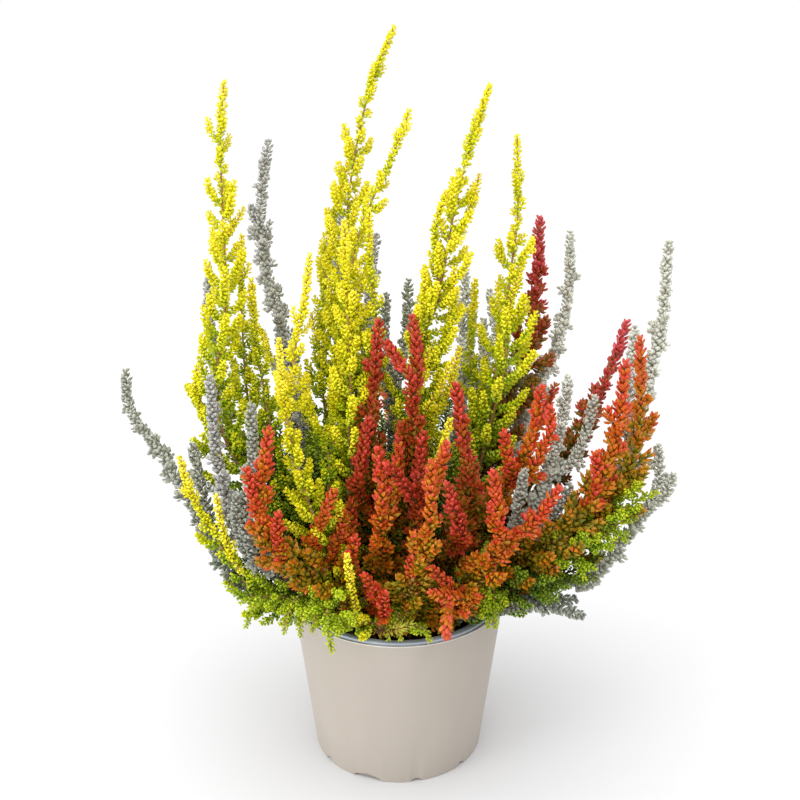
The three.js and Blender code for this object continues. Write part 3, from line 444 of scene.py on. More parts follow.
COVER_RIM_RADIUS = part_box("cover_pot")[1].x
COVER_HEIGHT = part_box("cover_pot")[1].z
LIP_BOTTOM = POT_RIM_TOP - POT_RIM_DEPTH
LIP_RADIUS = cover_inside(LIP_BOTTOM) - PIECE_GAP
LIP_TOP_RADIUS = cover_inside(COVER_HEIGHT) - PIECE_GAP
POT_FLOOR = COVER_BASE + PIECE_GAP
POT_FOOT_RADIUS = cover_inside(POT_FLOOR) - POT_FOOT_GAP
POT_NECK_RADIUS = LIP_RADIUS - POT_RIM_WIDTH + POT_WALL


def pot_inside(z):
    """Inner radius of the grow pot at a height."""
    return np.interp(z, (POT_FLOOR, LIP_BOTTOM), (POT_FOOT_RADIUS - POT_WALL, POT_NECK_RADIUS - POT_WALL))


def bend_clear(shoots):
    """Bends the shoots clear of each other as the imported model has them, and up over the rims."""
    home = np.concatenate([shoot["line"] for shoot in shoots])
    start = np.cumsum([0] + [len(shoot["line"]) for shoot in shoots])
    for shoot, first in zip(shoots, start):
        shoot["first"] = first
    nodes = np.repeat([shoot["node"] for shoot in shoots], np.diff(start))
    radii, loose = [], []
    for shoot in shoots:
        count = len(shoot["line"])
        step = np.linalg.norm(shoot["line"][1] - shoot["line"][0])
        radii.append(leaf_radius(shoot["width"], shoot["bare"], step * np.arange(count), step * (count - 1)))
        loose.append(np.ones(count) if shoot["stem"] else clamp01(np.arange(count) / STIFF_KNOTS))
    radii, loose = np.concatenate(radii), np.concatenate(loose)
    shift, place = np.zeros_like(home), home.copy()
    one, two = None, None
    for turn in range(CLEAR_ROUNDS):
        if turn % NEAR_ROUNDS == 0:
            apart = np.linalg.norm(place[:, None] - place[None], axis=2)
            near = apart < radii[:, None] + radii[None] + SHOOT_GAP + NEAR_GAP
            one, two = np.nonzero(near & (nodes[:, None] < nodes[None]))
        away = place[one] - place[two]
        over = radii[one] + radii[two] + SHOOT_GAP - np.linalg.norm(away, axis=1)
        hit = over > 0
        push = unit(away[hit] * CLEAR_WEIGHTS) * (over[hit] * CLEAR_SHARE)[:, None]
        total, pushes = np.zeros_like(shift), np.zeros(len(shift))
        for index, sign in ((one[hit], 1), (two[hit], -1)):
            np.add.at(total, index, sign * push)
            np.add.at(pushes, index, 1)
        shift += total * (loose / np.sqrt(np.maximum(pushes, 1)))[:, None]
        for shoot in shoots:
            own = shift[shoot["first"]:shoot["first"] + len(shoot["line"])]
            before = own.copy()
            own[1:-1] += SMOOTH_SHARE * (before[:-2] + before[2:] - 2 * before[1:-1])
            own[-1] += SMOOTH_SHARE * (before[-2] - before[-1])
            own[0] = shift[shoot["stem"]["first"] + shoot["at"]] if shoot["stem"] else 0
        place = home + shift
        over_rim = np.linalg.norm(place[:, :2], axis=1) + radii > pot_inside(SOIL_TOP) - RIM_MARGIN
        lowest = np.where(over_rim, POT_RIM_TOP + RIM_GAP, SOIL_TOP + STEM_COLLAR - STEM_RADIUS) + radii
        lifted = (lowest > place[:, 2]) & (loose > LIFT_FROM_LOOSE)
        lift = np.where(lifted, lowest - place[:, 2], 0)
        shift[:, 2] += lift
        place[:, 2] += lift
    for shoot in shoots:
        shoot["line"] = place[shoot["first"]:shoot["first"] + len(shoot["line"])]


class Path:
    """A line in fine even steps, with its direction and two directions across it at every step."""

    def __init__(self, points, step):
        self.points, self.along = even_line(points, step)
        self.length = self.along[-1]
        self.forward = unit(np.gradient(self.points, axis=0))
        side = unit(np.cross(self.forward[0], SIDE_START))
        sides = []
        for forward in self.forward:
            side = unit(side - forward * (side @ forward))
            sides.append(side)
        self.side = np.array(sides)
        self.up = np.cross(self.forward, self.side)

    def at(self, along):
        """Place, direction and cross directions at distances from the start."""
        found = [np.stack([np.interp(along, self.along, values[:, axis]) for axis in range(3)], 1)
                 for values in (self.points, self.forward, self.side, self.up)]
        return found[0], unit(found[1]), unit(found[2]), unit(found[3])


class Foliage:
    """The leaves and stems of one shoot, collected for one mesh."""

    def __init__(self):
        self.points, self.faces, self.tones, self.woody = [], [], [], []
        self.count = 0

    def add(self, points, faces, tones, woody):
        self.points.append(points)
        self.faces.append(faces + self.count)
        self.tones.append(tones)
        self.woody.append(np.full(len(faces), int(woody)))
        self.count += len(points)

    def leaves(self, shape, roots, ahead, keel, length, half, tone):
        """Leaves at their roots: ahead is where each points and keel the direction of its back."""
        corners, faces = shape
        side = np.cross(ahead, keel)
        along = (corners[:, 0] * length[:, None])[..., None] * ahead[:, None]
        across = (corners[:, 1] * half[:, None])[..., None] * side[:, None]
        lift = (corners[:, 2] * half[:, None])[..., None] * -keel[:, None]
        points = roots[:, None] + along + across + lift
        index = faces[None] + (np.arange(len(roots)) * len(corners))[:, None, None]
        tones = clamp01(tone[:, None] + corners[:, 3])
        self.add(points.reshape(-1, 3), index.reshape(-1, 3), tones.ravel(), False)

    def stem(self, path, radii, sides, tone, woody=True):
        """A closed tube along a path, woody or as fresh as the leaves."""
        turn = FULL_TURN * np.arange(sides) / sides
        ring = np.cos(turn)[:, None] * path.side[:, None] + np.sin(turn)[:, None] * path.up[:, None]
        points = (path.points[:, None] + ring * radii[:, None, None]).reshape(-1, 3)
        rings = len(path.points)
        low = (np.arange(rings - 1) * sides)[:, None]
        k = np.arange(sides)[None]
        a, b = low + k, low + (k + 1) % sides
        faces = np.stack([a, b, b + sides, a, b + sides, a + sides], -1).reshape(-1, 3)
        fan = np.arange(1, sides - 1)
        last = (rings - 1) * sides
        foot = np.stack([np.zeros_like(fan), fan + 1, fan], 1)
        top = np.stack([np.full_like(fan, last), last + fan, last + fan + 1], 1)
        self.add(points, np.concatenate([faces, foot, top]), np.full(len(points), tone), woody)


# How leaves stand: shifts of a round as shares, and how leaves close and shrink at a tip
TIP_GAP = 1.3 * MM
ROUND_SHIFT = 0.25
ROUND_TURN = 0.16
CLOSED_AT_TIP = 0.6
OPENS_BY = 0.4
OPEN_BELOW = 4 * MM
LEAN_VARIES = 9
SIZE_AT_TIP = 0.7
GROWS_BY = 0.3
GROWN_BELOW = 6 * MM
LEAF_SIZES = (0.86, 1.12)
LEAF_ROOTED_AT = 0.5
LOW_SIZE = 1.22

# Where leaves and sprays keep clear of the pots' rims
RIM_REACH = 47 * MM
HANG_REACH = 78 * MM
RIM_HANG = 100 * MM
RIM_CLEAR = 1.6 * MM

# Stems: where their leaves and sprays begin and end, and how far below a tip the leaves are the finer kind
LEAFY_FROM = 9 * MM
LEAFY_FORK = 3 * MM
STEM_STEP = 3 * MM
STEM_SIDES = 6
STEM_FOOT_RADIUS = 1.35 * MM
FORK_FOOT_RADIUS = 0.8 * MM
STEM_TIP_RADIUS = 0.4 * MM
STEM_TAPER = 0.8
STEM_TONE = 0.5
STEM_LEAVES_DARKER = 0.06
SPARSE_PITCH = 3.2
BARE_TOP = 14 * MM
CLEAR_VIEW = 50 * MM
ALL_FINE = 1
ALL_PLAIN = 0
FULL_WIDTH = 11 * MM

# Sprays up a stem, and where long ones fork into smaller sprays
SPRAY_STEP = 4 * MM
SPRAY_SIDES = 3
SPRAY_RADIUS = 0.34 * MM
SPRAY_THINS = 0.6
SPRAY_BENDS = (1.45, 0.6)
SPRAY_DARKER = 0.08
SPRAY_LEAFY_FROM = 1.2 * MM
SPRAY_LENGTHS = (0.65, 1.1)
SPRAY_GAPS = (0.7, 1.3)
SPRAY_LEAN_VARIES = 8
TURN_VARIES = 0.3
WOODY_SPRAYS = ("red", "grey", "dry")
FORKING_LENGTH = 13 * MM
FORKS_FROM = 0.3
FORKS_BELOW = 6 * MM
BUNCH_WAVE = 6 * MM
BUNCHED_LENGTH = 130 * MM
LOW_CLOSER = 0.3

# Shoots whose leaves aren't in their kind's usual colours, and yellow ones brighter than the rest
OWN_COLOURS = {
    "dark red": ("red_dark_centre", "red_dark_right", "red_slant_centre", "red_thin_pair"),
    "crimson": ("red_tall_far", "red_narrow_right"),
    "orange": ("red_orange_front", "red_orange_left", "red_orange_right", "red_rear_centre", "red_rear_right",
               "red_lying_front"),
    "mauve grey": ("grey_mauve", "grey_left_back", "grey_tall_left", "grey_back_centre"),
    "green grey": ("grey_left_inner", "grey_green_right", "grey_centre", "grey_far_left", "grey_low_right"),
}
BRIGHTER = {
    "yellow_bright_left": 0.2, "yellow_column": 0.12, "yellow_front": 0.1, "yellow_diagonal_left": 0.1,
    "yellow_bush_right": 0.06,
}


def tone_of(kind, place, from_tip):
    """How far a leaf has coloured, from 0 deep in the plant to 1 at a bright tip."""
    tones = []
    if "young" in KINDS[kind]:
        base, gain, reach = KINDS[kind]["young"]
        tones.append(base + gain * clamp01(1 - from_tip / (reach * MM)))
    if "high" in KINDS[kind]:
        base, gain, low, rise = KINDS[kind]["high"]
        tones.append(base + gain * clamp01((place[:, 2] - low * MM) / (rise * MM)))
    return np.max(tones, axis=0)


def whorls(start, stop, pitch, number, rng):
    """Places along a line and turns round it for rounds of leaves, each turned from the last."""
    rounds = max(1, int((stop - start) / pitch))
    step = np.repeat(np.arange(rounds), number)
    along = stop - TIP_GAP - (step + vary(rng, ROUND_SHIFT, len(step))) * pitch
    turn = FULL_TURN * (np.tile(np.arange(number), rounds) + step / 2 + vary(rng, ROUND_TURN, len(step)))
    return np.clip(along, start, stop), turn / number + rng.uniform(0, ANY_TURN)


def clear_of_rim(places):
    """Whether places are well inside the pots, above their rims or outside them."""
    reach = np.linalg.norm(places[:, :2], axis=1)
    inside = reach < POT_NECK_RADIUS - POT_WALL - RIM_CLEAR
    return inside | (places[:, 2] > POT_RIM_TOP + RIM_CLEAR) | (reach > COVER_RIM_RADIUS + RIM_CLEAR)


def hangs_over_rim(path):
    """Whether a spray droops over the pots' rim or against the pot's side."""
    reach = np.linalg.norm(path.points[:, :2], axis=1)
    return RIM_REACH < reach[-1] < HANG_REACH and path.points[-1, 2] < RIM_HANG


def clothe(foliage, kind, path, start, stem_radius, pitch, rng, tone, low_below):
    """Leaves along a path from a distance on, the kind's low ones further from the tip than low_below."""
    facts = KINDS[kind]
    along, turn = whorls(start, path.length, pitch, facts["whorl"], rng)
    place, forward, side, up = path.at(along)
    outward = side * np.cos(turn)[:, None] + up * np.sin(turn)[:, None]
    to_tip = path.length - along
    opened = CLOSED_AT_TIP + OPENS_BY * clamp01(to_tip / OPEN_BELOW)
    lean = np.radians(facts["lean"] * opened + vary(rng, LEAN_VARIES, len(along)))
    ahead = unit(outward * np.sin(lean)[:, None] + forward * np.cos(lean)[:, None])
    keel = unit(outward - ahead * (outward * ahead).sum(1, keepdims=True))
    grown = SIZE_AT_TIP + GROWS_BY * clamp01(to_tip / GROWN_BELOW)
    size = grown * rng.uniform(*LEAF_SIZES, len(along))
    shade = tone(along, place) + rng.normal(0, facts["vary"], len(along))
    length, half = facts["length"] * MM, facts["half"] * MM
    roots = place + outward * (stem_radius * LEAF_ROOTED_AT)
    clear = clear_of_rim(roots) & clear_of_rim(roots + ahead * length)
    low = to_tip >= low_below
    for shape, swell, some in ((facts["leaf"], 1, clear & ~low),
                               (facts.get("low_leaf", facts["leaf"]), LOW_SIZE, clear & low)):
        if some.any():
            own = swell * size[some]
            foliage.leaves(shape, roots[some], ahead[some], keel[some], length * own, half * own, shade[some])


def side_path(place, forward, outward, length, lean):
    """A side spray's path: it leaves its stem at a wide angle and bends up along it."""
    leans = [lean * share for share in SPRAY_BENDS]
    ways = [unit(outward * math.sin(angle) + forward * math.cos(angle)) for angle in leans]
    points = [place, place + ways[0] * length / 2, place + (ways[0] + ways[1]) * length / 2]
    return Path(points, SPRAY_STEP)


def grow_sprays(foliage, kind, path, start, stop, tone, rng, fullness, depth=0, full=False):
    """Leafy sprays up a stem, longer further from its tip, with smaller sprays on the long ones."""
    facts = KINDS[kind]
    shortest, longest = (length * MM for length in facts["sprays"])
    steepest, widest = facts["out"]
    spray_pitch = facts["spray_pitch"] * MM
    along, turn = start, rng.uniform(0, ANY_TURN)
    swell = rng.uniform(0, ANY_TURN)
    while along < stop:
        foot = along
        place, forward, side, up = (values[0] for values in path.at(np.array([foot])))
        outward = side * math.cos(turn) + up * math.sin(turn)
        grown = clamp01((path.length - along) / (facts["full"] * MM)) if full or not depth else 0
        low = clamp01((path.length - along) / BUNCHED_LENGTH)
        bunch = 1 - facts["bunch"] * (1 - low) * (1 - math.sin(along / BUNCH_WAVE + swell))
        length = (shortest + (longest - shortest) * grown * fullness) * bunch * rng.uniform(*SPRAY_LENGTHS)
        lean = math.radians(steepest + (widest - steepest) * grown + vary(rng, SPRAY_LEAN_VARIES))
        spray = side_path(place, forward, outward, length, lean)
        along += facts["gap"] * MM * (1 - LOW_CLOSER * low) * rng.uniform(*SPRAY_GAPS)
        turn += GOLDEN_TURN + vary(rng, TURN_VARIES)
        if hangs_over_rim(spray):
            continue
        base = float(tone(np.array([foot]), place[None])[0])
        radii = np.linspace(SPRAY_RADIUS, SPRAY_RADIUS * SPRAY_THINS, len(spray.points))
        foliage.stem(spray, radii, SPRAY_SIDES, clamp01(base), kind in WOODY_SPRAYS)

        def spray_tone(at, _, base=base, spray=spray):
            return base - SPRAY_DARKER + facts["ripen"] * at / spray.length

        low_below = ALL_FINE if path.length - foot < CLEAR_VIEW else ALL_PLAIN
        clothe(foliage, kind, spray, SPRAY_LEAFY_FROM, SPRAY_RADIUS, spray_pitch, rng, spray_tone, low_below)
        if length > FORKING_LENGTH and not depth:
            grow_sprays(foliage, kind, spray, FORKS_FROM * length, length - FORKS_BELOW, spray_tone, rng,
                        fullness=1, depth=1)


def kind_of(name):
    return name.split("_")[0]


def foliage_of(shoots, rng):
    """All leaves and stems of one shoot with its side shoots."""
    kind = kind_of(shoots[0]["name"])
    pitch = KINDS[kind]["pitch"] * MM
    foliage = Foliage()
    brighter = BRIGHTER.get(shoots[0]["name"], 0)
    for shoot in shoots:
        points = list(shoot["line"])
        start, foot = LEAFY_FORK, FORK_FOOT_RADIUS
        if not shoot["stem"]:
            points = [np.array([*points[0][:2], SOIL_TOP - STEM_BURIED]), *points]
            start, foot = STEM_BURIED + STEM_COLLAR + LEAFY_FROM, STEM_FOOT_RADIUS
        path = Path(points, STEM_STEP)
        radii = foot + (STEM_TIP_RADIUS - foot) * (path.along / path.length) ** STEM_TAPER
        foliage.stem(path, radii, STEM_SIDES, STEM_TONE)

        def tone(along, place, path=path):
            return tone_of(kind, place, path.length - along) + brighter

        def stem_tone(along, place, tone=tone):
            return tone(along, place) - STEM_LEAVES_DARKER

        spike = max(start, path.length - KINDS[kind]["spike"] * MM)
        clothe(foliage, kind, path, spike, STEM_TIP_RADIUS, pitch, rng, stem_tone, CLEAR_VIEW)
        if spike > start:
            clothe(foliage, kind, path, start, STEM_TIP_RADIUS, pitch * SPARSE_PITCH, rng, stem_tone,
                   ALL_PLAIN)
        grow_sprays(foliage, kind, path, start, path.length - BARE_TOP, tone, rng,
                    clamp01(shoot["width"] / FULL_WIDTH))
    return foliage


# Undergrowth: the short leafy twigs that fill the clump between the tall shoots. Each patch: its name,
# kind, how many twigs, the directions it covers in degrees from the front towards the right, how far out
# from the pot's axis, and the twigs' shortest and longest length, in millimetres
UNDERGROWTH = [
    ("undergrowth_front", "olive", 15, (-42, 44), (26, 40), (28, 54)),
    ("undergrowth_left", "green", 13, (-128, -58), (14, 42), (60, 112)),
    ("undergrowth_right", "green", 11, (42, 125), (20, 42), (44, 80)),
    ("undergrowth_rear", "green", 11, (125, 235), (16, 42), (60, 110)),
    ("undergrowth_middle", "green", 9, (-180, 180), (0, 18), (70, 104)),
]
TWIG_FOOT_RADIUS = 0.9 * MM
TWIG_SPACING = 6 * MM
TWIG_SUNK = 4 * MM
TWIG_ROUNDS = 200
TWIG_SLOWNESS = 3
TWIG_SHIFT = 1
GOLDEN_SHARE = 0.618
TWIG_SIDES = 5
TWIG_TONE = 0.4
TWIG_BARE_TOP = 8 * MM
TWIG_FULLNESS = 0.7
DRY_LEAFY_FROM = 3 * MM

# A twig's lean in degrees at the middle of the pot, what the rim adds, how late that comes, how much it
# varies, and its shares of the lean from foot to tip
TWIG_LEAN = 4
RIM_LEAN = 48
RIM_LEAN_LATE = 1.6
TWIG_LEAN_VARIES = 5
TWIG_BENDS = (1.1, 0.85, 0.5)

# The dry twig's route at the front of the rim, in millimetres
DRY_TWIG = [(-13, -51, 98), (-8, -58, 102), (-1, -63, 106), (7, -65, 110)]


def twig_feet(taken, rng):
    """Feet for each patch's twigs on the soil, clear of the shoots' feet and of each other."""
    feet, fixed = [], len(taken)
    for _, _, number, (first, last), (near, far), _ in UNDERGROWTH:
        share = (np.arange(number) + 0.5) / number
        turn = np.radians(first + (last - first) * ((share * number * GOLDEN_SHARE) % 1))
        reach = np.sqrt(near ** 2 + (far ** 2 - near ** 2) * share) * MM
        feet.append(np.stack([np.sin(turn) * reach, -np.cos(turn) * reach], 1))
    places = np.concatenate([taken, *feet])
    places[fixed:] += vary(rng, TWIG_SHIFT, places[fixed:].shape) * MM
    return push_apart(places, fixed, TWIG_SPACING, TWIG_SLOWNESS, TWIG_ROUNDS)


def twig_path(foot, length, rng):
    """A twig that stands up out of the soil and splays outwards, the more so the nearer the rim it stands."""
    reach = np.linalg.norm(foot) / FEET_RADIUS
    lean = math.radians(TWIG_LEAN + RIM_LEAN * reach ** RIM_LEAN_LATE + vary(rng, TWIG_LEAN_VARIES))
    turn = math.atan2(foot[1], foot[0]) + vary(rng, TURN_VARIES)
    outward = np.array([math.cos(turn), math.sin(turn), 0])
    points = [np.array([*foot, SOIL_TOP - TWIG_SUNK]),
              np.array([*(foot * STEM_SPLAY), SOIL_TOP + STEM_UPRIGHT])]
    for share in TWIG_BENDS:
        way = outward * math.sin(lean * share) + np.array([0, 0, math.cos(lean * share)])
        points.append(points[-1] + way * length / len(TWIG_BENDS))
    return Path(points, STEM_STEP)


def clothe_twig(foliage, kind, path, start, rng):
    """A short twig with its leaves and sprays."""
    radii = TWIG_FOOT_RADIUS + (STEM_TIP_RADIUS - TWIG_FOOT_RADIUS) * path.along / path.length
    foliage.stem(path, radii, TWIG_SIDES, TWIG_TONE)

    def tone(along, place):
        return tone_of(kind, place, path.length - along)

    clothe(foliage, kind, path, start, STEM_TIP_RADIUS, KINDS[kind]["pitch"] * MM, rng, tone, ALL_PLAIN)
    grow_sprays(foliage, kind, path, start, path.length - TWIG_BARE_TOP, tone, rng, TWIG_FULLNESS, depth=1,
                full=True)


def make_undergrowth(shoots):
    rng = np.random.default_rng(UNDERGROWTH_SEED)
    taken = np.array([shoot["line"][0][:2] for shoot in shoots if not shoot["stem"]])
    feet = twig_feet(taken, rng)
    for name, kind, number, _, _, (shortest, longest) in UNDERGROWTH:
        own, feet = feet[:number], feet[number:]
        foliage = Foliage()
        for foot in own:
            path = twig_path(foot, rng.uniform(shortest, longest) * MM, rng)
            clothe_twig(foliage, kind, path, TWIG_SUNK + LEAFY_FROM, rng)
        add_foliage(name, kind, foliage)
    foliage = Foliage()
    dry_path = Path([np.array(point, float) * MM for point in DRY_TWIG], STEM_STEP)
    clothe_twig(foliage, "dry", dry_path, DRY_LEAFY_FROM, rng)
    add_foliage("dry_front_twig", "dry", foliage)


# Meshes and materials

def make_mesh(name, points, faces, materials, slots=None, tones=None, smooth=True):
    mesh = bpy.data.meshes.new(name)
    mesh.vertices.add(len(points))
    mesh.vertices.foreach_set("co", points.astype(np.float32).ravel())
    corners = faces.shape[1]
    mesh.loops.add(faces.size)
    mesh.loops.foreach_set("vertex_index", faces.astype(np.int32).ravel())
    mesh.polygons.add(len(faces))
    mesh.polygons.foreach_set("loop_start", np.arange(0, faces.size, corners, dtype=np.int32))
    if slots is not None:
        mesh.polygons.foreach_set("material_index", slots.astype(np.int32))
    mesh.polygons.foreach_set("use_smooth", np.full(len(faces), smooth))
    if tones is not None:
        mesh.attributes.new("tone", "FLOAT", "POINT").data.foreach_set("value", tones.astype(np.float32))
    for material in materials:
        mesh.materials.append(material)
    mesh.update(calc_edges=True)
    piece = bpy.data.objects.new(name, mesh)
    bpy.context.scene.collection.objects.link(piece)
    return piece


def new_material(name):
    """A material and its nodes: the tree and its Principled shader."""
    material = bpy.data.materials.new(name)
    material.use_nodes = True
    tree = material.node_tree
    return material, tree, tree.nodes["Principled BSDF"]


def feed(tree, node, inputs):
    """Sets a node's sockets to numbers or links them to other nodes' outputs."""
    for name, value in inputs.items():
        if isinstance(value, bpy.types.NodeSocket):
            tree.links.new(value, node.inputs[name])
        else:
            node.inputs[name].default_value = value


def add_node(tree, kind, output, inputs):
    """The output of a new node fed with the inputs."""
    node = tree.nodes.new("ShaderNode" + kind)
    feed(tree, node, inputs)
    return node.outputs[output]


def noise(tree, scale, detail=3, rough=0.55, stretch=(1, 1, 1)):
    """A noise pattern fixed to the object; scale is in waves a metre."""
    place = add_node(tree, "TexCoord", "Object", {})
    if stretch != (1, 1, 1):
        place = add_node(tree, "Mapping", "Vector", {"Vector": place, "Scale": stretch})
    return add_node(tree, "TexNoise", "Fac", {"Vector": place, "Scale": scale, "Detail": detail,
                                              "Roughness": rough})


def ramp(tree, value, stops):
    """Colours along a value: each stop is where it stands and its colour as light."""
    node = tree.nodes.new("ShaderNodeValToRGB")
    feed(tree, node, {"Fac": value})
    marks = node.color_ramp.elements
    while len(marks) < len(stops):
        marks.new(0.5)
    for mark, (position, colour) in zip(marks, stops):
        mark.position = position
        mark.color = colour
    return node.outputs["Color"]


def spread_value(tree, value, low, high):
    """The value from 0 to 1 taken to a range from low to high."""
    return add_node(tree, "MapRange", "Result", {"Value": value, "To Min": low, "To Max": high})


def add_values(tree, a, b):
    return add_node(tree, "Math", "Value", {0: a, 1: b})


def bump(tree, height, strength, distance):
    return add_node(tree, "Bump", "Normal", {"Strength": strength, "Distance": distance, "Height": height})


def leaf_material(name, roughness, sheen, stops):
    """Leaves whose colour runs along the stops as they colour, with a fine grain and mottling."""
    material, tree, shader = new_material(name)
    tone = tree.nodes.new("ShaderNodeAttribute")
    tone.attribute_name = "tone"
    mottle = spread_value(tree, noise(tree, scale=260), low=-0.12, high=0.12)
    grain = noise(tree, scale=1900, detail=2)
    feed(tree, shader, {
        "Base Color": ramp(tree, add_values(tree, tone.outputs["Fac"], mottle), as_light(stops)),
        "Roughness": spread_value(tree, grain, low=roughness - 0.08, high=roughness + 0.1),
        "Normal": bump(tree, grain, strength=0.35, distance=0.12 * MM),
        "Specular IOR Level": 0.35})
    if sheen:
        feed(tree, shader, {"Sheen Weight": sheen, "Sheen Roughness": 0.5})
    return material


def plain_material(name, stops, scale, roughness, grain_scale, depth, specular=0.4):
    """A surface coloured by a slow noise, with a finer grain for its roughness and relief."""
    material, tree, shader = new_material(name)
    grain = noise(tree, grain_scale, detail=4)
    feed(tree, shader, {
        "Base Color": ramp(tree, noise(tree, scale), stops),
        "Roughness": spread_value(tree, grain, low=roughness - 0.07, high=roughness + 0.07),
        "Normal": bump(tree, grain, strength=0.4, distance=depth),
        "Specular IOR Level": specular})
    return material


# Colours of leaves, from deep in the plant to a bright tip: how rough they are and how much sheen they
# have, then the stops along that way
LEAF_COLOURS = {
    "yellow": (0.5, 0, [
        (0, 0.15, 0.27, 0.02), (0.2, 0.32, 0.47, 0.03), (0.42, 0.62, 0.71, 0.04), (0.62, 0.85, 0.84, 0.06),
        (0.82, 0.94, 0.89, 0.12), (1, 0.98, 0.93, 0.3)]),
    "lime": (0.5, 0, [
        (0, 0.16, 0.24, 0.03), (0.25, 0.36, 0.48, 0.04), (0.5, 0.57, 0.67, 0.05), (0.8, 0.76, 0.8, 0.1),
        (1, 0.86, 0.88, 0.2)]),
    "green": (0.5, 0, [
        (0, 0.12, 0.17, 0.02), (0.3, 0.27, 0.37, 0.03), (0.6, 0.46, 0.56, 0.05), (1, 0.66, 0.72, 0.1)]),
    "silver grey": (0.75, 0.3, [
        (0, 0.4, 0.41, 0.34), (0.3, 0.56, 0.57, 0.51), (0.6, 0.71, 0.72, 0.66), (1, 0.91, 0.91, 0.86)]),
    "mauve grey": (0.75, 0.3, [
        (0, 0.34, 0.34, 0.32), (0.3, 0.5, 0.5, 0.48), (0.6, 0.62, 0.62, 0.6), (1, 0.79, 0.79, 0.77)]),
    "green grey": (0.75, 0.3, [
        (0, 0.26, 0.29, 0.24), (0.3, 0.42, 0.45, 0.39), (0.6, 0.56, 0.58, 0.52), (1, 0.77, 0.77, 0.72)]),
    "red": (0.42, 0, [
        (0, 0.42, 0.42, 0.05), (0.2, 0.62, 0.5, 0.06), (0.4, 0.78, 0.46, 0.07), (0.6, 0.79, 0.35, 0.1),
        (0.8, 0.76, 0.24, 0.13), (1, 0.85, 0.31, 0.25)]),
    "dark red": (0.42, 0, [
        (0, 0.36, 0.36, 0.06), (0.2, 0.54, 0.4, 0.06), (0.42, 0.66, 0.3, 0.08), (0.65, 0.65, 0.19, 0.1),
        (1, 0.8, 0.27, 0.2)]),
    "crimson": (0.42, 0, [
        (0, 0.36, 0.36, 0.06), (0.2, 0.54, 0.38, 0.07), (0.42, 0.66, 0.28, 0.13), (0.65, 0.7, 0.22, 0.2),
        (1, 0.85, 0.33, 0.37)]),
    "orange": (0.42, 0, [
        (0, 0.42, 0.44, 0.06), (0.25, 0.62, 0.54, 0.07), (0.5, 0.8, 0.5, 0.09), (0.78, 0.78, 0.32, 0.11),
        (1, 0.82, 0.3, 0.22)]),
    "olive": (0.45, 0, [
        (0, 0.12, 0.15, 0.03), (0.25, 0.28, 0.32, 0.04), (0.5, 0.46, 0.42, 0.06), (0.75, 0.62, 0.4, 0.08),
        (1, 0.72, 0.34, 0.14)]),
    "dry": (0.6, 0, [
        (0, 0.42, 0.28, 0.16), (0.35, 0.68, 0.5, 0.28), (0.65, 0.76, 0.68, 0.26), (1, 0.78, 0.84, 0.28)]),
}
STEM_COLOURS = {
    "tan": (0.7, [(0.3, 0.5, 0.33, 0.18), (0.7, 0.8, 0.6, 0.38)]),
    "pinkish": (0.75, [(0.3, 0.52, 0.42, 0.36), (0.7, 0.78, 0.66, 0.58)]),
    "brown": (0.7, [(0.3, 0.27, 0.17, 0.12), (0.7, 0.5, 0.34, 0.22)]),
}
LEAF_MATERIALS = {colour: leaf_material(colour + " leaves", *look) for colour, look in LEAF_COLOURS.items()}
STEM_MATERIALS = {
    colour: plain_material(colour + " stems", as_light(stops), 120, roughness, 1500, depth=0.2 * MM)
    for colour, (roughness, stops) in STEM_COLOURS.items()}


def materials_of(name, kind):
    """The materials of a piece's leaves and stems: its shoot's own colour where it has one, or its kind's."""
    shoot = name.removesuffix("_foliage")
    leaves, stems = KINDS[kind]["colours"]
    for colour, shoots in OWN_COLOURS.items():
        if shoot in shoots:
            leaves = colour
    return LEAF_MATERIALS[leaves], STEM_MATERIALS[stems]


def add_foliage(name, kind, foliage, node=None):
    """One piece of foliage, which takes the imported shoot's place if it is named."""
    points, faces, tones, woody = (np.concatenate(values) for values in (
        foliage.points, foliage.faces, foliage.tones, foliage.woody))
    piece = make_mesh(name, points, faces, materials_of(name, kind), woody, tones, smooth=False)
    if node:
        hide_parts(node)
    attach(piece, "root")


def dress_shoots(shoots):
    for node, (name, *_) in enumerate(SHOOTS):
        rng = np.random.default_rng(FIRST_SHOOT_SEED + node)
        foliage = foliage_of([shoot for shoot in shoots if shoot["node"] == node], rng)
        add_foliage(name + "_foliage", kind_of(name), foliage, name)


# Pots and soil

def turned(profile, segments):
    """Points and faces of a solid turned about +Z from (radius, height) points, the ends on the axis."""
    turn = FULL_TURN * np.arange(segments) / segments
    ring = np.stack([np.sin(turn), -np.cos(turn)], 1)
    inner = profile[1:-1]
    points = [np.array([[0, 0, profile[0][1]]])]
    for radius, z in inner:
        points.append(np.column_stack([ring * radius, np.full(segments, z)]))
    points.append(np.array([[0, 0, profile[-1][1]]]))
    points = np.concatenate(points)
    k = np.arange(segments)
    after = (k + 1) % segments
    last = len(points) - 1
    faces = [np.stack([np.zeros_like(k), 1 + after, 1 + k], 1)]
    for row in range(len(inner) - 1):
        low = 1 + row * segments
        a, b = low + k, low + after
        faces += [np.stack([a, b, b + segments], 1), np.stack([a, b + segments, a + segments], 1)]
    top = 1 + (len(inner) - 1) * segments
    faces.append(np.stack([top + k, top + after, np.full_like(k, last)], 1))
    return points, np.concatenate(faces)


def rounded(corner, before, after, radius, steps=3):
    """Points round a corner of a profile, from the line to the corner before it to the line after it."""
    corner, before, after = (np.array(p, float) for p in (corner, before, after))
    one = corner + unit(before - corner) * radius
    two = corner + unit(after - corner) * radius
    t = np.linspace(0, 1, steps + 1)[:, None]
    return [tuple(p) for p in (1 - t) ** 2 * one + 2 * t * (1 - t) * corner + t ** 2 * two]


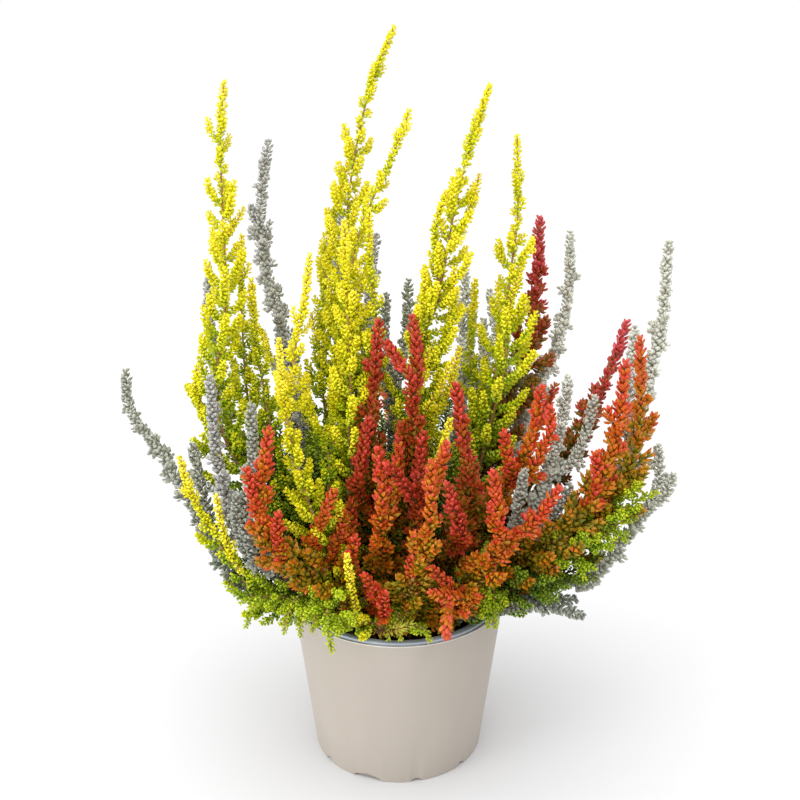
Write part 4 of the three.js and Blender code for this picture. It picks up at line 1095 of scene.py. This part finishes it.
def round_profile(corners):
    """The points of a profile given as (radius, height, rounding): 0 keeps a corner sharp."""
    points = [corner[:2] for corner in corners]
    result = []
    for i, (*point, radius) in enumerate(corners):
        result += rounded(point, points[i - 1], points[i + 1], radius) if radius else [tuple(point)]
    return result


def arch_height(degrees):
    """Height of the foot's edge at angles from the front."""
    height = np.zeros_like(degrees)
    for at, half, rise in FOOT_ARCHES:
        for turn in (0, 180):
            away = (degrees - at - turn + 180) % 360 - 180
            height = np.maximum(height, rise * MM * np.sqrt(clamp01(1 - np.abs(away) / half)))
    return height


def cover_wall(z, inset=0):
    """A point on the cover pot's outside at a height."""
    return np.interp(z, (0, COVER_HEIGHT), (COVER_FOOT_RADIUS, COVER_RIM_RADIUS)) - inset, z, 0


def beige_plastic():
    """The cover pot's warm beige: faint clouds, upright stripes painted as soft shading bands, and a painted
    highlight along its top edge.
    """
    material, tree, shader = new_material("warm beige plastic")
    cloud = noise(tree, scale=16, detail=2)
    # Upright stripes: painted shading bands in the colour, and part of the faint relief in the bump
    shading_and_relief_streaks = noise(tree, scale=55, detail=2, rough=0.5, stretch=(1, 1, 0.06))
    place = add_node(tree, "TexCoord", "Object", {})
    # A painted highlight: the colour grows paler towards the top edge, as if light caught it there
    edge = add_node(tree, "MapRange", "Result", {
        "Value": add_node(tree, "SeparateXYZ", "Z", {0: place}),
        "From Min": COVER_HEIGHT - PAINTED_HIGHLIGHT_FROM, "From Max": COVER_HEIGHT - PAINTED_HIGHLIGHT_FULL})
    bands = add_values(tree, *(spread_value(tree, band, low=0, high=0.35) for band in (cloud, shading_and_relief_streaks)))
    grain = noise(tree, scale=1400, detail=3)
    # The palest stop, at 1, is reached only at the top edge: that is the painted highlight
    feed(tree, shader, {
        "Base Color": ramp(tree, add_values(tree, bands, edge), as_light([
            (0.2, 0.665, 0.63, 0.59), (0.5, 0.695, 0.66, 0.62), (1, 0.83, 0.81, 0.79)])),
        "Roughness": spread_value(tree, grain, low=0.46, high=0.62),
        "Normal": bump(tree, add_values(tree, grain, shading_and_relief_streaks), strength=0.12, distance=0.15 * MM),
        "Specular IOR Level": 0.4})
    return material


def make_cover_pot():
    """The beige pot: smooth, with a rounded edge, a faint crease below it and the arches in its foot."""
    crease = COVER_HEIGHT - CREASE_DROP
    profile = round_profile([
        (0, 0, 0), (FOOT_FLAT_RADIUS, 0, 0), (COVER_FOOT_RADIUS - FOOT_EDGE, 0, 0),
        (COVER_FOOT_RADIUS, 0, EDGE_ROUND), *(cover_wall(COVER_HEIGHT * share) for share in WALL_RINGS),
        cover_wall(crease - CREASE_HALF_WIDTH), cover_wall(crease, CREASE_DEPTH),
        cover_wall(crease + CREASE_HALF_WIDTH), (COVER_RIM_RADIUS, COVER_HEIGHT, EDGE_ROUND),
        (COVER_RIM_RADIUS - COVER_WALL, COVER_HEIGHT, EDGE_ROUND),
        (COVER_FOOT_RADIUS - COVER_WALL, COVER_BASE, 0), (0, COVER_BASE, 0)])
    points, faces = turned(profile, COVER_SEGMENTS)
    degrees = np.degrees(np.arctan2(points[:, 0], -points[:, 1]))
    reach = np.hypot(points[:, 0], points[:, 1])
    foot = (reach > FOOT_FLAT_RADIUS + FOOT_FLAT_EDGE) & (points[:, 2] < COVER_BASE / 2)
    points[foot, 2] += arch_height(degrees[foot])
    piece = make_mesh("cover_pot_shell", points, faces, [beige_plastic()])
    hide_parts("cover_pot")
    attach(piece, "root")


def make_grow_pot():
    """The grey-blue pot that holds the soil: its rolled rim shows."""
    inner = LIP_TOP_RADIUS - POT_RIM_WIDTH
    ledge = inner - LEDGE_WIDTH
    neck, floor_top = LIP_BOTTOM - NECK_DROP, POT_FLOOR + POT_WALL
    profile = round_profile([
        (0, POT_FLOOR, 0), (POT_FOOT_RADIUS, POT_FLOOR, 1.2 * MM), (POT_NECK_RADIUS, LIP_BOTTOM, 0.8 * MM),
        (LIP_RADIUS, LIP_BOTTOM, 0.5 * MM), (LIP_TOP_RADIUS, POT_RIM_TOP, 0.9 * MM),
        (inner, POT_RIM_TOP, 0.8 * MM), (ledge, POT_RIM_TOP - LEDGE_DROP, 0.7 * MM),
        (ledge, LIP_BOTTOM, 0.5 * MM), (pot_inside(neck), neck, 0.5 * MM),
        (pot_inside(floor_top), floor_top, 0.8 * MM), (0, floor_top, 0)])
    points, faces = turned(profile, POT_SEGMENTS)
    shades = as_light([(0.3, 0.66, 0.7, 0.75), (0.7, 0.73, 0.77, 0.82)])
    material = plain_material("grey-blue plastic", shades, 30, roughness=0.38, grain_scale=900,
                              depth=0.1 * MM, specular=0.5)
    piece = make_mesh("grow_pot_shell", points, faces, [material])
    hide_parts("grow_pot")
    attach(piece, "root")


def lumpy(x, y):
    """A crumbly height from -1 to 1 for places on the soil."""
    height = np.zeros_like(x)
    (far_u, fast_v), (far_v, fast_u) = SOIL_BENDS
    for wave, share, turn in SOIL_WAVES:
        u = (x * math.cos(turn) + y * math.sin(turn)) / MM * wave
        v = (y * math.cos(turn) - x * math.sin(turn)) / MM * wave
        height += share * np.sin(u + far_u * np.sin(v * fast_v)) * np.sin(v + far_v * np.sin(u * fast_u))
    return height


def crumb_shape():
    """Corners and faces of a small ball, before it is dented into a crumb."""
    ball = bmesh.new()
    bmesh.ops.create_icosphere(ball, subdivisions=1, radius=1)
    corners = np.array([corner.co for corner in ball.verts])
    faces = np.array([[corner.index for corner in face.verts] for face in ball.faces])
    ball.free()
    return corners, faces


def make_soil():
    """Dark crumbly soil, level with the top of the stems' holes, strewn with crumbs."""
    rng = np.random.default_rng(SOIL_SEED)
    bottom = POT_FLOOR + POT_WALL + PIECE_GAP
    edge = pot_inside(SOIL_TOP) - PIECE_GAP
    profile = [(0, bottom), (pot_inside(bottom) - PIECE_GAP, bottom), (edge, SOIL_TOP - SOIL_EDGE_DROP)]
    for ring in range(1, SOIL_RINGS):
        profile.append((edge * (1 - ring / SOIL_RINGS) ** SOIL_RINGS_CLOSER, SOIL_TOP))
    points, index = turned([*profile, (0, SOIL_TOP)], SOIL_SPOKES)
    top = points[:, 2] > SOIL_TOP - SOIL_EDGE_DROP / 2
    points[top, 2] += SOIL_LUMP * lumpy(points[top, 0], points[top, 1])
    parts, faces, count = [points], [index], len(points)
    corners, index = crumb_shape()
    for _ in range(CRUMBS):
        reach = (edge - CRUMB_EDGE_GAP) * math.sqrt(rng.uniform())
        turn = rng.uniform(0, FULL_TURN)
        x, y = reach * math.cos(turn), reach * math.sin(turn)
        size = rng.uniform(*CRUMB_MILLIMETRES) * MM * rng.uniform(*CRUMB_STRETCH, 3)
        crumb = corners * size * rng.uniform(*CRUMB_DENTS, (len(corners), 1))
        z = SOIL_TOP + SOIL_LUMP * float(lumpy(np.array([x]), np.array([y]))[0]) + CRUMB_RAISED
        parts.append(crumb + (x, y, z))
        faces.append(index + count)
        count += len(corners)
    shades = as_light([(0.25, 0.09, 0.07, 0.05), (0.5, 0.2, 0.15, 0.11), (0.8, 0.36, 0.28, 0.2)])
    material = plain_material("dark potting soil", shades, 420, roughness=0.92, grain_scale=1600,
                              depth=0.5 * MM, specular=0.2)
    piece = make_mesh("soil_bed", np.concatenate(parts), np.concatenate(faces), [material])
    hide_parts("soil")
    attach(piece, "root")


# Stage

# Lamps: each its name, place in metres, width in metres and watts
LAMPS = [
    ("key", (-1.6, -0.95, 0.4), 0.9, 16),
    ("fill", (1.3, -1, 0.9), 1.2, 1),
    ("back", (0.5, 1.4, 1.5), 1.2, 2),
]
LAMP_AIM = (0, 0, 0.18)
FLOOR_HALF = 4
FLOOR_SHADES = [(0, (0.63, 0.63, 0.638, 1)), (1, (0.64, 0.64, 0.648, 1))]
SUN_STRENGTH = 2.1
SUN_WIDTH = 70
SUN_LEAN = (10, -4, 0)
NEAREST_SEEN = 0.01


def add_thing(name, data):
    thing = bpy.data.objects.new(name, data)
    bpy.context.scene.collection.objects.link(thing)
    return thing


def make_stage():
    """A white floor, soft studio light and the photograph's camera."""
    scene = bpy.context.scene
    corners = FLOOR_HALF * np.array([[-1, -1, 0], [1, -1, 0], [1, 1, 0], [-1, 1, 0]])
    floor_material = plain_material("white floor", FLOOR_SHADES, 8, roughness=0.8, grain_scale=300,
                                    depth=0.05 * MM, specular=0.1)
    floor = make_mesh("floor", corners, np.array([[0, 1, 2, 3]]), [floor_material], smooth=False)
    world = bpy.data.worlds.new("studio")
    world.use_nodes = True
    feed(world.node_tree, world.node_tree.nodes["Background"], {"Color": (1, 1, 1, 1), "Strength": 1})
    scene.world = world
    for name, place, width, power in LAMPS:
        lamp = add_thing(name, bpy.data.lights.new(name, "AREA"))
        lamp.data.shape = "DISK"
        lamp.data.size = width
        lamp.data.energy = power
        lamp.location = place
        lamp.rotation_euler = Vector(np.array(LAMP_AIM) - np.array(place)).to_track_quat("-Z", "Y").to_euler()
    sun = add_thing("sky glow", bpy.data.lights.new("sky glow", "SUN"))
    sun.data.energy = SUN_STRENGTH
    sun.data.angle = math.radians(SUN_WIDTH)
    sun.rotation_euler = [math.radians(lean) for lean in SUN_LEAN]
    camera = add_thing("camera", bpy.data.cameras.new("camera"))
    camera.location = CAMERA_PLACE
    camera.rotation_euler = (math.radians(90 - CAMERA_DOWN), 0, 0)
    camera.data.sensor_width = SENSOR
    camera.data.lens = FOCAL_PIXELS / PHOTO_PIXELS * SENSOR
    camera.data.clip_start = NEAREST_SEEN
    scene.camera = camera
    scene.view_settings.view_transform = "Standard"


make_stage()
make_cover_pot()
make_grow_pot()
make_soil()
SHOOT_LINES = draw_shoots()
bend_clear(SHOOT_LINES)
dress_shoots(SHOOT_LINES)
make_undergrowth(SHOOT_LINES)
